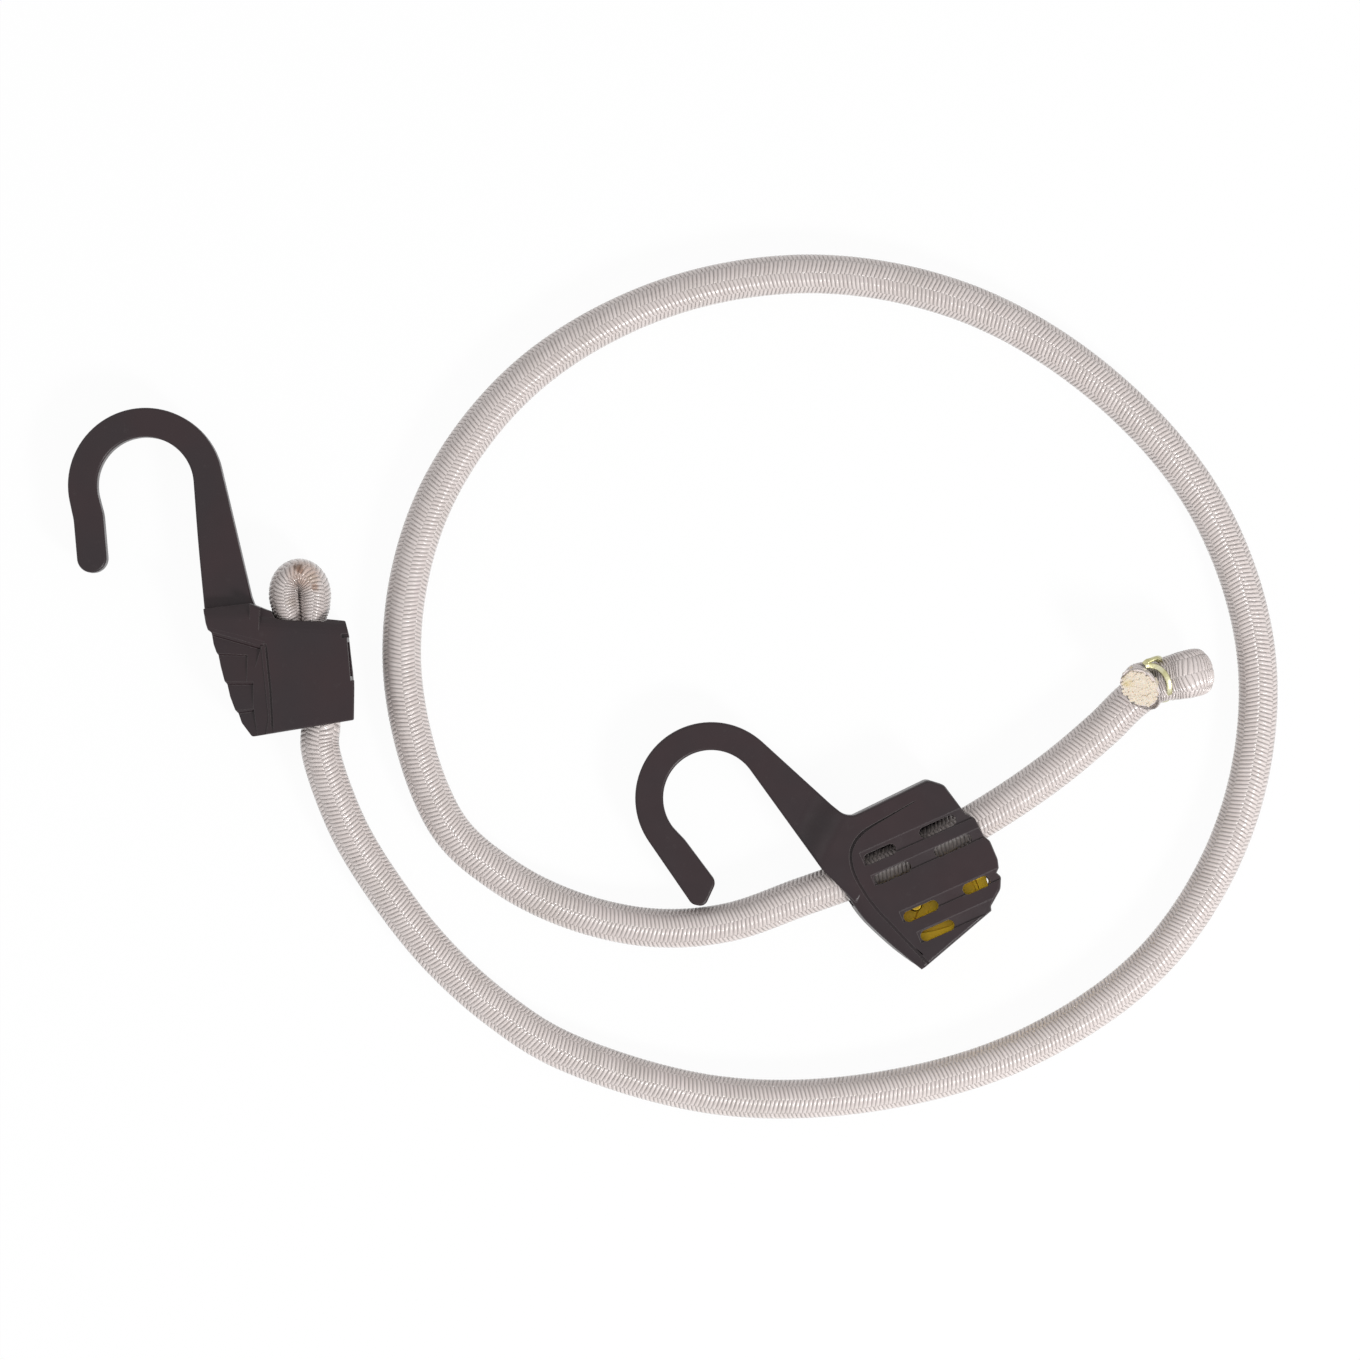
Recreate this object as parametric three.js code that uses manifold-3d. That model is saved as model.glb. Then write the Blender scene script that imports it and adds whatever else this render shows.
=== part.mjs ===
// Adjustable bungee cord, lying flat in a loose spiral. Millimetres, +Z up, floor at Z = 0.
// A braided elastic cord has a moulded hook fixed at one end. Its other end runs through a
// second hook, where the toothed nose of a cam lever holds it, and ends doubled back on
// itself in a crimped wire ring.
import * as THREE from 'three';
import { mergeVertices } from 'three/addons/utils/BufferGeometryUtils.js';
import Module from 'manifold-3d';

const wasm = await Module();
wasm.setup();

// Cord: a sheath of braided yarn round a core of rubber strands
const cordDiameter = 10;
const sheathWall = 0.8;
const cordSides = 12;
const cordSteps = 60;
const floorLift = 0.2;

// Clearance between pieces that touch, and how far a cutting tool runs past the surface
const touchGap = 0.3;
const overrun = 6;
const arcStep = THREE.MathUtils.degToRad(12);

// Moulded hooks: both share the thickness of the body and of the flat hook arm
const bodyThickness = 16;
const armThickness = 6.5;
const armEdge = 0.7;
const shellWall = 2.2;

// Fixed hook: where its mouth stands, how far it is turned, and its sizes
const fixedX = -53;
const fixedY = -12.1;
const fixedTurn = THREE.MathUtils.degToRad(5);
const fixedWidth = 36;
const fixedHeight = 34;
const fixedEdge = 0.9;
const fixedMouth = 2.8;

// Clamp hook: the cord runs through it on an arc, given by its centre, radius and direction
const arcX = 19.3;
const arcY = 123.9;
const arcRadius = 181.8;
const arcTurn = THREE.MathUtils.degToRad(-66);
const clampLength = 41;
const clampHeight = 42;
const clampEdge = 1.5;
const clampTravel = 15;
const coverDepth = 4.5;
const coverLip = 0.3;

// Cam lever and its pin
const pinRadius = 1.5;
const pinLength = 13;
const hubRadius = 3.4;
const bossHeight = 1;
const pivotX = -3;
const pivotDrop = 6.1;
const noseLength = 9;
const toothPitch = 1.5;
const toothDepth = 0.7;
const leverSetback = 4.3;
const leverPocket = 2.2;

// Doubled ends of the cord: the loop at the fixed hook and the fold at the tail
const loopHalfWidth = 3.85;
const loopHalfHeight = 6.3;
const loopReach = 45;
const foldHalfWidth = 6;
const foldHalfHeight = 3.9;
const foldReach = 13.9;
const ringWire = 1.1;
const ringWidth = 1.9;
const tailX = 156.5;
const tailY = 1.9;
const tailTurn = THREE.MathUtils.degToRad(14);

// Derived sizes
const cordRadius = cordDiameter / 2;
const boreRadius = cordRadius - sheathWall;
const coreRadius = boreRadius - touchGap;
const midHeight = bodyThickness / 2;
const armLow = midHeight - armThickness / 2;
const armHigh = midHeight + armThickness / 2;
const clampX = arcX + arcRadius * Math.cos(arcTurn);
const clampY = arcY + arcRadius * Math.sin(arcTurn);
const clampTurn = arcTurn + Math.PI / 2;
const pivotY = -cordRadius - touchGap - pivotDrop;
const leverLength = clampLength / 2 - pivotX - leverSetback;

// Colours as photographed
const plasticColour = 0x3b3435;
const leverColour = 0xc9a512;
const braidColour = 0xb8afab;
const rubberColour = 0xe0cdb4;
const zincColour = 0xc2b878;
const steelColour = 0x9b9c9e;

// Solids and meshes

function solidOf(geometry) {
  const bare = geometry.clone();
  bare.deleteAttribute('normal');
  bare.deleteAttribute('uv');
  const merged = mergeVertices(bare);
  const mesh = new wasm.Mesh({
    numProp: 3,
    vertProperties: new Float32Array(merged.attributes.position.array),
    triVerts: new Uint32Array(merged.index.array),
  });
  return new wasm.Manifold(mesh);
}

function geometryOf(solid) {
  const mesh = solid.getMesh();
  const geometry = new THREE.BufferGeometry();
  geometry.setAttribute('position', new THREE.BufferAttribute(new Float32Array(mesh.vertProperties), 3));
  geometry.setIndex(new THREE.BufferAttribute(new Uint32Array(mesh.triVerts), 1));
  geometry.computeVertexNormals();
  return geometry;
}

function meshOf(name, geometry, colour, roughness = 0.5, metalness = 0) {
  const material = new THREE.MeshStandardMaterial({ color: colour, roughness, metalness });
  const mesh = new THREE.Mesh(geometry, material);
  mesh.name = name;
  return mesh;
}

// Outlines: shares of a width and a height, each corner with a fillet share of the width

function cornersOf(shares, width, height) {
  return shares.map(([x, y, fillet = 0]) => ({ x: x * width, y: y * height, r: fillet * width }));
}

function pointsOf(shares, width, height) {
  return shares.map(([x, y]) => new THREE.Vector2(x * width, y * height));
}

function rounded(corners) {
  const points = [];
  corners.forEach((corner, index) => {
    const here = new THREE.Vector2(corner.x, corner.y);
    if (!corner.r) {
      points.push(here);
      return;
    }
    const before = corners[(index + corners.length - 1) % corners.length];
    const after = corners[(index + 1) % corners.length];
    const back = new THREE.Vector2(before.x, before.y).sub(here);
    const ahead = new THREE.Vector2(after.x, after.y).sub(here);
    const half = Math.acos(back.dot(ahead) / (back.length() * ahead.length())) / 2;
    const room = Math.min(back.length(), ahead.length()) / 2;
    const radius = Math.min(corner.r, room * Math.tan(half));
    back.normalize();
    ahead.normalize();
    const start = here.clone().addScaledVector(back, radius / Math.tan(half));
    const end = here.clone().addScaledVector(ahead, radius / Math.tan(half));
    const centre = here.clone().addScaledVector(back.add(ahead).normalize(), radius / Math.sin(half));
    const from = Math.atan2(start.y - centre.y, start.x - centre.x);
    const to = Math.atan2(end.y - centre.y, end.x - centre.x);
    const sweep = Math.atan2(Math.sin(to - from), Math.cos(to - from));
    points.push(...arcPoints(centre.x, centre.y, radius, from, from + sweep));
  });
  return points;
}

function arcPoints(x, y, radius, from, to) {
  const count = Math.max(2, Math.ceil(Math.abs(to - from) / arcStep));
  const points = [];
  for (let i = 0; i <= count; i += 1) {
    const angle = from + (to - from) * i / count;
    points.push(new THREE.Vector2(x + radius * Math.cos(angle), y + radius * Math.sin(angle)));
  }
  return points;
}

function smooth(points, count) {
  return new THREE.SplineCurve(points).getPoints(count);
}

// A plate of an outline between two heights, with its low and high edges rounded or square

function plate(points, low, high, edge = 0, edgeSteps = 2) {
  const shape = new THREE.Shape(points);
  const geometry = new THREE.ExtrudeGeometry(shape, {
    depth: high - low - 2 * edge,
    bevelEnabled: edge > 0,
    bevelThickness: edge,
    bevelSize: edge,
    bevelOffset: -edge,
    bevelSegments: edgeSteps,
  });
  geometry.translate(0, 0, low + edge);
  return solidOf(geometry);
}

// A block between two corners

function block(x0, y0, z0, x1, y1, z1) {
  const geometry = new THREE.BoxGeometry(x1 - x0, y1 - y0, z1 - z0);
  geometry.translate((x0 + x1) / 2, (y0 + y1) / 2, (z0 + z1) / 2);
  return solidOf(geometry);
}

function post(x, y, radius, low, high, sides = 24) {
  const geometry = new THREE.CylinderGeometry(radius, radius, high - low, sides);
  geometry.rotateX(Math.PI / 2);
  geometry.translate(x, y, (low + high) / 2);
  return solidOf(geometry);
}

// A prism drawn in a plane that stands on the line from one point towards a direction.
// Profile points are [distance along the direction, height]; the prism is centred across it.

function standingPrism(profile, x, y, direction, width) {
  const shape = new THREE.Shape(profile.map(([along, up]) => new THREE.Vector2(along, up)));
  const geometry = new THREE.ExtrudeGeometry(shape, { depth: width, bevelEnabled: false });
  geometry.translate(0, 0, -width / 2);
  geometry.rotateX(Math.PI / 2);
  geometry.rotateZ(direction);
  geometry.translate(x, y, 0);
  return solidOf(geometry);
}

// A tube through stations with its own half width and half height at each one, solid or bored.
// side is the station's sideways direction, up the other one; wall is zero for a solid tube.

function sweptTube(stations, inset, wall, sides = cordSides) {
  const positions = [];
  const index = [];
  const ring = (station, shrink) => {
    const first = positions.length / 3;
    for (let i = 0; i < sides; i += 1) {
      const angle = 2 * Math.PI * (i + 0.5) / sides;
      const point = station.at.clone();
      point.addScaledVector(station.side, (station.halfWidth - shrink) * Math.cos(angle));
      point.addScaledVector(station.up, (station.halfHeight - shrink) * Math.sin(angle));
      positions.push(point.x, point.y, point.z);
    }
    return first;
  };
  const skin = (from, to, flipped) => {
    for (let i = 0; i < sides; i += 1) {
      const j = (i + 1) % sides;
      if (flipped) {
        index.push(from + i, to + j, to + i, from + i, from + j, to + j);
      } else {
        index.push(from + i, to + i, to + j, from + i, to + j, from + j);
      }
    }
  };
  const outer = stations.map((station) => ring(station, inset));
  outer.slice(1).forEach((to, i) => skin(outer[i], to, false));
  if (wall > 0) {
    const inner = stations.map((station) => ring(station, inset + wall));
    inner.slice(1).forEach((to, i) => skin(inner[i], to, true));
    skin(inner[0], outer[0], false);
    skin(outer[outer.length - 1], inner[inner.length - 1], false);
  } else {
    const cap = (first, flipped) => {
      for (let i = 1; i < sides - 1; i += 1) {
        index.push(first, first + (flipped ? i : i + 1), first + (flipped ? i + 1 : i));
      }
    };
    cap(outer[0], true);
    cap(outer[outer.length - 1], false);
  }
  const geometry = new THREE.BufferGeometry();
  geometry.setAttribute('position', new THREE.BufferAttribute(new Float32Array(positions), 3));
  geometry.setIndex(index);
  const signed = volumeOf(geometry);
  if (signed < 0) {
    index.reverse();
    geometry.setIndex(index);
  }
  geometry.computeVertexNormals();
  return geometry;
}

function volumeOf(geometry) {
  const place = geometry.attributes.position;
  const order = geometry.index.array;
  const [a, b, c] = [new THREE.Vector3(), new THREE.Vector3(), new THREE.Vector3()];
  let sum = 0;
  for (let i = 0; i < order.length; i += 3) {
    a.fromBufferAttribute(place, order[i]);
    b.fromBufferAttribute(place, order[i + 1]);
    c.fromBufferAttribute(place, order[i + 2]);
    sum += a.dot(b.cross(c));
  }
  return sum;
}

// Stations along a curve that lies in one plane, with sizes blended between named places

const stationsPerSpan = 2;

function stationsAlong(route, normal) {
  const count = stationsPerSpan * (route.length - 1);
  const curve = new THREE.CatmullRomCurve3(route.map((place) => place.at), false, 'centripetal');
  const stations = [];
  for (let i = 0; i <= count; i += 1) {
    const t = i / count;
    const scaled = t * (route.length - 1);
    const k = Math.min(Math.floor(scaled), route.length - 2);
    const mix = (key) => THREE.MathUtils.lerp(route[k][key], route[k + 1][key], scaled - k);
    const tangent = curve.getTangent(t);
    stations.push({
      at: curve.getPoint(t),
      side: tangent.clone().cross(normal).normalize(),
      up: normal,
      halfWidth: mix('halfWidth'),
      halfHeight: mix('halfHeight'),
    });
  }
  return stations;
}

// A J-shaped hook arm: shank, round bend, and a leg that ends in the tip

const throatSteps = 6;

function hookOutline(arm) {
  const { x, y, outer, inner, lean, leg, tip, shank, throat, root, bow } = arm;
  const tangentAngle = (px, py, radius) => {
    const reach = Math.hypot(px - x, py - y);
    return Math.atan2(py - y, px - x) + Math.acos(radius / reach);
  };
  const down = new THREE.Vector2(Math.sin(lean), -Math.cos(lean));
  const across = new THREE.Vector2(Math.cos(lean), Math.sin(lean));
  const outerEnd = Math.PI + lean;
  const legStart = new THREE.Vector2(x, y).addScaledVector(across, -outer);
  const tipPoints = tip.map(([along, over, fillet = 0]) => {
    const point = legStart.clone().addScaledVector(down, leg * along);
    point.addScaledVector(across, (outer - inner) * over);
    return { x: point.x, y: point.y, r: fillet * (outer - inner) };
  });
  const outerArc = arcPoints(x, y, outer, tangentAngle(shank.x, shank.y, outer), outerEnd);
  const innerStart = tangentAngle(throat.x, throat.y, inner);
  const innerArc = arcPoints(x, y, inner, outerEnd, innerStart);
  const last = innerArc[innerArc.length - 1];
  const throatLine = [
    last,
    new THREE.Vector2((last.x + throat.x) / 2 - bow, (last.y + throat.y) / 2),
    new THREE.Vector2(throat.x, throat.y),
  ];
  const plain = (list) => list.map((point) => ({ x: point.x, y: point.y }));
  return rounded([
    ...plain(outerArc), ...tipPoints, ...plain(innerArc),
    ...plain(smooth(throatLine, throatSteps).slice(1)),
    ...root, { x: shank.x, y: shank.y, r: 0 },
  ]);
}

// Fixed hook: one moulding with a hook arm, a stepped finger grip and a tapered cord pocket

const fixedBodyShares = [
  [-0.73, 1.01], [-0.715, 0.885, 0.2], [-0.597, 0.35, 0.4], [-0.47, 0.05, 0.04], [0.225, 0.1, 0.05],
  [0.27, 0.73], [0.262, 0.82, 0.04], [-0.1, 0.93, 0.5], [-0.41, 0.985],
];
const fixedTipShares = [[0.8, 0], [1, 0.02, 0.48], [1, 0.98, 0.48], [0.8, 1.02]];
const fixedRootShares = [[-0.71, 0.85], [-0.22, 0.82], [-0.22, 0.945], [-0.4, 0.985, 0.08]];
const fixedThroat = 12;
const fixedArmWidth = 7.4;
const fixedArm = {
  x: -38.4,
  y: 66.5,
  outer: fixedThroat + fixedArmWidth,
  inner: fixedThroat,
  lean: THREE.MathUtils.degToRad(3),
  leg: 20,
  tip: fixedTipShares,
  shank: { x: -15.1, y: 36.6 },
  throat: { x: -26.3, y: 34.4 },
  bow: 0.8,
  root: cornersOf(fixedRootShares, fixedWidth, fixedHeight),
};

// Loop: two strands side by side out of the pocket. Each place on the right strand is
// [across, along, width, height], shares of the spread, the reach and the strand's half sizes.
const loopMiddle = -2.4;
const strandGap = 0.4;
const loopStart = fixedMouth + 1.4;
const loopSpread = loopHalfWidth + strandGap / 2;
const pinchShare = 0.8;
const pinchHeightShare = 0.78;
const loopRingShare = 0.47;
const slotStartShare = 0.31;
const loopShares = [
  [1, slotStartShare, 1, 0.95], [pinchShare, loopRingShare, pinchShare, pinchHeightShare],
  [1, 0.62, 1, 1], [1, 0.81, 1, 1], [0.8, 0.9, 0.9, 1],
];
const loopEntryShares = [[0.9, 0.25, 1.06, 0.95], [1, 0.36, 1, 0.95]];
const apexShare = 0.72;

function loopStations() {
  const place = (side) => ([across, along, widthShare, heightShare]) => ({
    at: new THREE.Vector3(loopMiddle + side * across * loopSpread, along * loopReach, midHeight),
    halfWidth: loopHalfWidth * widthShare,
    halfHeight: loopHalfHeight * heightShare,
  });
  const round = (y) => ({
    at: new THREE.Vector3(0, y, midHeight), halfWidth: cordRadius, halfHeight: cordRadius,
  });
  const apex = (loopReach - loopHalfWidth * apexShare) / loopReach;
  return stationsAlong([
    round(loopStart),
    round(loopStart + cordRadius / 2),
    ...[...loopEntryShares, ...loopShares.slice(1)].map(place(1)),
    place(0)([0, apex, apexShare, 1]),
    ...loopShares.slice().reverse().map(place(-1)),
  ], new THREE.Vector3(0, 0, 1));
}

// The pocket widens from the round mouth to a slot for two strands side by side

function pocketSolid() {
  const side = new THREE.Vector3(1, 0, 0);
  const up = new THREE.Vector3(0, 0, 1);
  const slotStart = slotStartShare * loopReach;
  const slack = touchGap / Math.cos(Math.PI / cordSides) + touchGap;
  const wide = loopSpread + loopHalfWidth + slack;
  const bore = cordRadius + slack;
  const station = (y, x, halfWidth, halfHeight) => ({
    at: new THREE.Vector3(x, y, midHeight), side, up, halfWidth, halfHeight,
  });
  const mouth = sweptTube([
    station(fixedMouth - overrun, 0, bore, bore),
    station(loopStart, 0, bore, bore),
    station(slotStart, loopMiddle + loopSpread, bore, loopHalfHeight + touchGap),
  ], 0, 0, 2 * cordSides);
  const slot = new THREE.Shape(rounded([
    { x: loopMiddle - wide, y: -loopHalfHeight - touchGap, r: loopHalfWidth },
    { x: loopMiddle + wide, y: -loopHalfHeight - touchGap, r: loopHalfWidth },
    { x: loopMiddle + wide, y: loopHalfHeight + touchGap, r: loopHalfWidth },
    { x: loopMiddle - wide, y: loopHalfHeight + touchGap, r: loopHalfWidth },
  ]));
  const depth = fixedHeight + overrun - slotStart;
  const cutter = new THREE.ExtrudeGeometry(slot, { depth, bevelEnabled: false });
  cutter.rotateX(Math.PI / 2);
  cutter.translate(0, slotStart - 2 * touchGap + depth, midHeight);
  return solidOf(mouth).add(solidOf(cutter));
}

// Sizes of the stepped grip, the front lip and the window in the side wall
const gripSteps = 4;
const gripTop = 28.6;
const gripPitch = 6.9;
const gripDepth = 1.3;
const gripInner = -12.4;
const gripTaperShare = 0.15;
const lipWidth = 3.2;
const lipDrop = 1.6;
const windowLow = 10.9;
const windowHigh = 23.4;
const windowDepth = 1.1;
const windowWall = 3;
const windowEdgeShare = 0.255;

function fixedHookSolid() {
  const arm = plate(hookOutline(fixedArm), armLow, armHigh, armEdge);
  const bodyCorners = cornersOf(fixedBodyShares, fixedWidth, fixedHeight);
  const body = plate(rounded(bodyCorners), 0, bodyThickness, fixedEdge);
  let solid = arm.add(body).subtract(pocketSolid());
  const left = -fixedWidth;
  for (let i = 0; i < gripSteps; i += 1) {
    const top = gripTop - i * gripPitch;
    const wedge = [[0, 0], [gripPitch, 0], [gripPitch, gripDepth * gripTaperShare], [0, gripDepth]];
    for (const face of [-1, 1]) {
      const profile = wedge.map(([along, deep]) => [along, midHeight + face * (midHeight - deep)]);
      const past = midHeight + face * (midHeight + overrun);
      profile.splice(0, 2, [0, past], [gripPitch, past]);
      const width = gripInner - left;
      const cutter = standingPrism(profile, (left + gripInner) / 2, top, -Math.PI / 2, width);
      solid = solid.subtract(cutter);
    }
  }
  const [lipRight, , lipLeft] = pointsOf(fixedBodyShares.slice(-3), fixedWidth, fixedHeight);
  const lipMiddle = lipRight.clone().add(lipLeft).divideScalar(2);
  const lipTurn = Math.atan2(lipRight.x - lipLeft.x, lipLeft.y - lipRight.y);
  for (const face of [-1, 1]) {
    const level = (deep) => midHeight + face * (midHeight - deep);
    const profile = [
      [-lipWidth, level(0)], [-lipWidth, level(-overrun)], [overrun, level(-overrun)],
      [overrun, level(lipDrop * 2)], [0, level(lipDrop)], [-lipWidth / 2, level(lipDrop / 3)],
    ];
    const lipCut = standingPrism(profile, lipMiddle.x, lipMiddle.y, lipTurn, lipRight.distanceTo(lipLeft));
    solid = solid.subtract(lipCut);
  }
  solid = solid.subtract(block(
    windowEdgeShare * fixedWidth - windowDepth, windowLow, windowWall,
    fixedWidth, windowHigh, bodyThickness + overrun,
  ));
  solid = solid.subtract(block(
    loopMiddle + loopSpread, windowLow + windowDepth, windowWall + windowDepth,
    fixedWidth, windowHigh - windowDepth, bodyThickness - windowWall - windowDepth,
  ));
  return solid;
}

// Clamp hook: outline of its body, of the hook arm, and of the raised louvred face

const clampTopShares = [[-0.241, 0.36], [0.29, 0.376, 0.055], [0.373, 0.295, 0.06]];
const clampNotchShares = [[0.43, 0.102], [0.473, -0.069], [0.48, -0.286], [0.343, -0.481]];
const clampBackShares = [
  [-0.2, -0.638], [-0.29, -0.5], [-0.366, -0.343], [-0.415, -0.217], [-0.454, -0.038], [-0.505, 0.143],
];
const scallopRise = 0.9;
const scallopShares = [0.25, 0.5, 0.75];
const backSteps = 14;

function clampOutline(lip) {
  const notches = pointsOf(clampNotchShares, clampLength, clampHeight);
  const points = cornersOf(clampTopShares, clampLength, clampHeight);
  notches.forEach((notch, i) => {
    points.push({ x: notch.x, y: notch.y });
    if (i + 1 < notches.length) {
      const next = notches[i + 1];
      const outward = new THREE.Vector2(notch.y - next.y, next.x - notch.x).normalize();
      for (const share of scallopShares) {
        const rise = scallopRise * 4 * share * (1 - share);
        const point = notch.clone().lerp(next, share).addScaledVector(outward, rise);
        points.push({ x: point.x, y: point.y });
      }
    }
  });
  const back = smooth(pointsOf(clampBackShares, clampLength, clampHeight), backSteps);
  points.push(...shifted(back, -lip).map((point) => ({ x: point.x, y: point.y })));
  return rounded(points);
}

// The same line moved sideways; a positive distance is to the left of its direction
function shifted(line, distance) {
  return line.map((point, i) => {
    const next = line[Math.min(i + 1, line.length - 1)];
    const back = line[Math.max(i - 1, 0)];
    const across = new THREE.Vector2(back.y - next.y, next.x - back.x).normalize();
    return point.clone().addScaledVector(across, distance);
  });
}

const clampTipShares = [
  [0.84, 0, 0.3], [0.96, 0.16, 0.2], [0.97, 0.6, 0.3], [0.82, 1.08, 0.3], [0.7, 1.08, 0.3],
];
const clampRootShares = [[-0.4, -0.12], [0, 0.1], [0, 0.362], [-0.235, 0.36, 0.12]];
const clampThroat = 12.2;
const clampArmWidth = 6.9;
const clampArm = {
  x: -38.7,
  y: 33.4,
  outer: clampThroat + clampArmWidth,
  inner: clampThroat,
  lean: THREE.MathUtils.degToRad(12),
  leg: 19,
  tip: clampTipShares,
  shank: { x: -12, y: 19.8 },
  throat: { x: -20.7, y: 6 },
  bow: 0,
  root: cornersOf(clampRootShares, clampLength, clampHeight),
};

// Height of the cord's axis above the straight line through the clamp, at a distance along it
function cordRise(x) {
  return arcRadius - Math.sqrt(arcRadius ** 2 - x ** 2);
}

// The cavity holds the cord's channel, widened for the travel, and the space of the lever
const channelSteps = 10;
const wallCount = 4;
const guideShares = [[0.32, -0.13], [0.46, -0.13], [0.46, -0.165], [0.32, -0.165]];

function cavityOutline() {
  const slack = cordRadius + 2 * touchGap;
  const reach = clampLength / 2 + overrun;
  const points = [];
  for (let i = 0; i <= channelSteps; i += 1) {
    const x = -reach + 2 * reach * i / channelSteps;
    points.push(new THREE.Vector2(x, Math.max(cordRise(x), cordRise(x + clampTravel)) + slack));
  }
  const wallLine = pointsOf(clampBackShares, clampLength, clampHeight);
  const inside = shifted(wallLine, -shellWall).slice(0, wallCount);
  const foot = inside[0].clone().add(inside[0].clone().sub(inside[1]).setLength(overrun));
  points.push(new THREE.Vector2(reach, -clampHeight), new THREE.Vector2(foot.x, -clampHeight), foot);
  points.push(...inside);
  points.push(new THREE.Vector2(inside[wallCount - 1].x, -slack), new THREE.Vector2(-reach, -slack));
  return points;
}

// Vent slots: each is [centre along the cord, centre across it, length]
const slotWidth = 2.8;
const slotShares = [
  [-0.146, 0.088, 0.207], [0.243, 0.098, 0.241], [-0.122, -0.045, 0.241], [0.28, -0.04, 0.244],
  [-0.059, -0.319, 0.227], [0.312, -0.312, 0.178], [-0.015, -0.464, 0.22],
];

function slotSolids(low, high) {
  const radius = slotWidth / 2;
  return slotShares.map(([x, y, length]) => {
    const reach = length * clampLength / 2 - radius;
    const points = [
      ...arcPoints(x * clampLength - reach, y * clampHeight, radius, Math.PI / 2, 3 * Math.PI / 2),
      ...arcPoints(x * clampLength + reach, y * clampHeight, radius, -Math.PI / 2, Math.PI / 2),
    ];
    return plate(points, low, high);
  });
}

// Louvres: slats that slope across the face, inside a groove
const louvrePitch = 5.8;
const louvreTop = 6.9;
const louvreCount = 5;
const louvreDepth = 0.6;
const grooveWidth = 0.6;
const grooveDepth = 0.7;
const faceSteps = 18;
const louvreTaperShare = 0.1;
const faceShares = [
  [0.1, 0.264], [-0.068, 0.251], [-0.185, 0.225], [-0.266, 0.195], [-0.322, 0.14], [-0.341, 0.052],
  [-0.334, -0.069], [-0.302, -0.188], [-0.254, -0.333], [-0.202, -0.486], [-0.129, -0.66],
];

function faceLine() {
  return smooth(pointsOf(faceShares, clampLength, clampHeight), faceSteps);
}

function louvreSolid() {
  const line = faceLine();
  const region = plate([
    ...line, new THREE.Vector2(clampLength, -clampHeight), new THREE.Vector2(clampLength, line[0].y),
  ], bodyThickness - overrun, bodyThickness + overrun);
  let slats = null;
  for (let i = 0; i < louvreCount; i += 1) {
    const top = louvreTop - i * louvrePitch;
    const profile = [
      [0, bodyThickness - louvreDepth], [louvrePitch, bodyThickness - louvreDepth * louvreTaperShare],
      [louvrePitch, bodyThickness + overrun], [0, bodyThickness + overrun],
    ];
    const slat = standingPrism(profile, 0, top, -Math.PI / 2, 2 * clampLength);
    slats = slats ? slats.add(slat) : slat;
  }
  return slats.intersect(region);
}

function grooveSolid() {
  const line = faceLine();
  const points = [...shifted(line, grooveWidth / 2), ...shifted(line, -grooveWidth / 2).reverse()];
  return plate(points, bodyThickness - grooveDepth, bodyThickness + overrun);
}

// The shank rises to the face of the body on a ramp
const rampLength = 10;

function rampSolid(arm) {
  const ends = [clampBackShares[clampBackShares.length - 1], clampTopShares[0]];
  const [from, to] = pointsOf(ends, clampLength, clampHeight);
  const middle = from.clone().add(to).divideScalar(2);
  const outward = Math.atan2(to.x - from.x, from.y - to.y);
  const halfWay = (bodyThickness + armHigh) / 2 + louvreDepth;
  const profile = [
    [-overrun, midHeight], [-overrun, bodyThickness], [0, bodyThickness],
    [rampLength / 2, halfWay], [rampLength, armHigh], [rampLength, midHeight],
  ];
  const prism = standingPrism(profile, middle.x, middle.y, outward, 2 * clampLength);
  return plate(hookOutline(arm), midHeight, bodyThickness).intersect(prism);
}

function clampHookSolid() {
  const parting = coverDepth + touchGap;
  const arm = plate(hookOutline(clampArm), Math.max(armLow, parting), armHigh, armEdge);
  const below = block(-clampLength, -clampHeight, -overrun, clampLength, clampHeight, parting);
  let solid = plate(clampOutline(0), 0, bodyThickness, clampEdge, 3).subtract(below);
  solid = solid.add(arm).add(rampSolid(clampArm));
  solid = solid.subtract(plate(cavityOutline(), 0, bodyThickness - shellWall));
  const guide = pointsOf(guideShares, clampLength, clampHeight);
  solid = solid.add(plate(guide, parting, bodyThickness - shellWall));
  const bossLow = bodyThickness - shellWall - bossHeight;
  solid = solid.add(post(pivotX, pivotY, hubRadius, bossLow, bodyThickness - shellWall / 2));
  const pinEnd = pinLength / 2 + touchGap;
  solid = solid.subtract(post(pivotX, pivotY, pinRadius + touchGap, 0, midHeight + pinEnd));
  solid = solid.subtract(louvreSolid()).subtract(grooveSolid());
  for (const slot of slotSolids(midHeight, bodyThickness + overrun)) {
    solid = solid.subtract(slot);
  }
  return solid;
}

// Rear cover: a shallow tray of the same outline, a little proud along the cord's side

function rearCoverSolid() {
  const above = block(
    -clampLength, -clampHeight, coverDepth, clampLength, clampHeight, bodyThickness + overrun,
  );
  let solid = plate(clampOutline(coverLip), 0, bodyThickness, fixedEdge).subtract(above);
  solid = solid.subtract(plate(cavityOutline(), shellWall, bodyThickness));
  solid = solid.add(plate(pointsOf(guideShares, clampLength, clampHeight), shellWall / 2, coverDepth));
  solid = solid.add(post(pivotX, pivotY, hubRadius, shellWall / 2, shellWall + bossHeight));
  const pinEnd = pinLength / 2 + touchGap;
  solid = solid.subtract(post(pivotX, pivotY, pinRadius + touchGap, midHeight - pinEnd, midHeight));
  for (const slot of slotSolids(-overrun, midHeight)) {
    solid = solid.subtract(slot);
  }
  return solid;
}

// Cam lever: a toothed nose along the cord, a hub on the pin, and a cored-out finger plate

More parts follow.
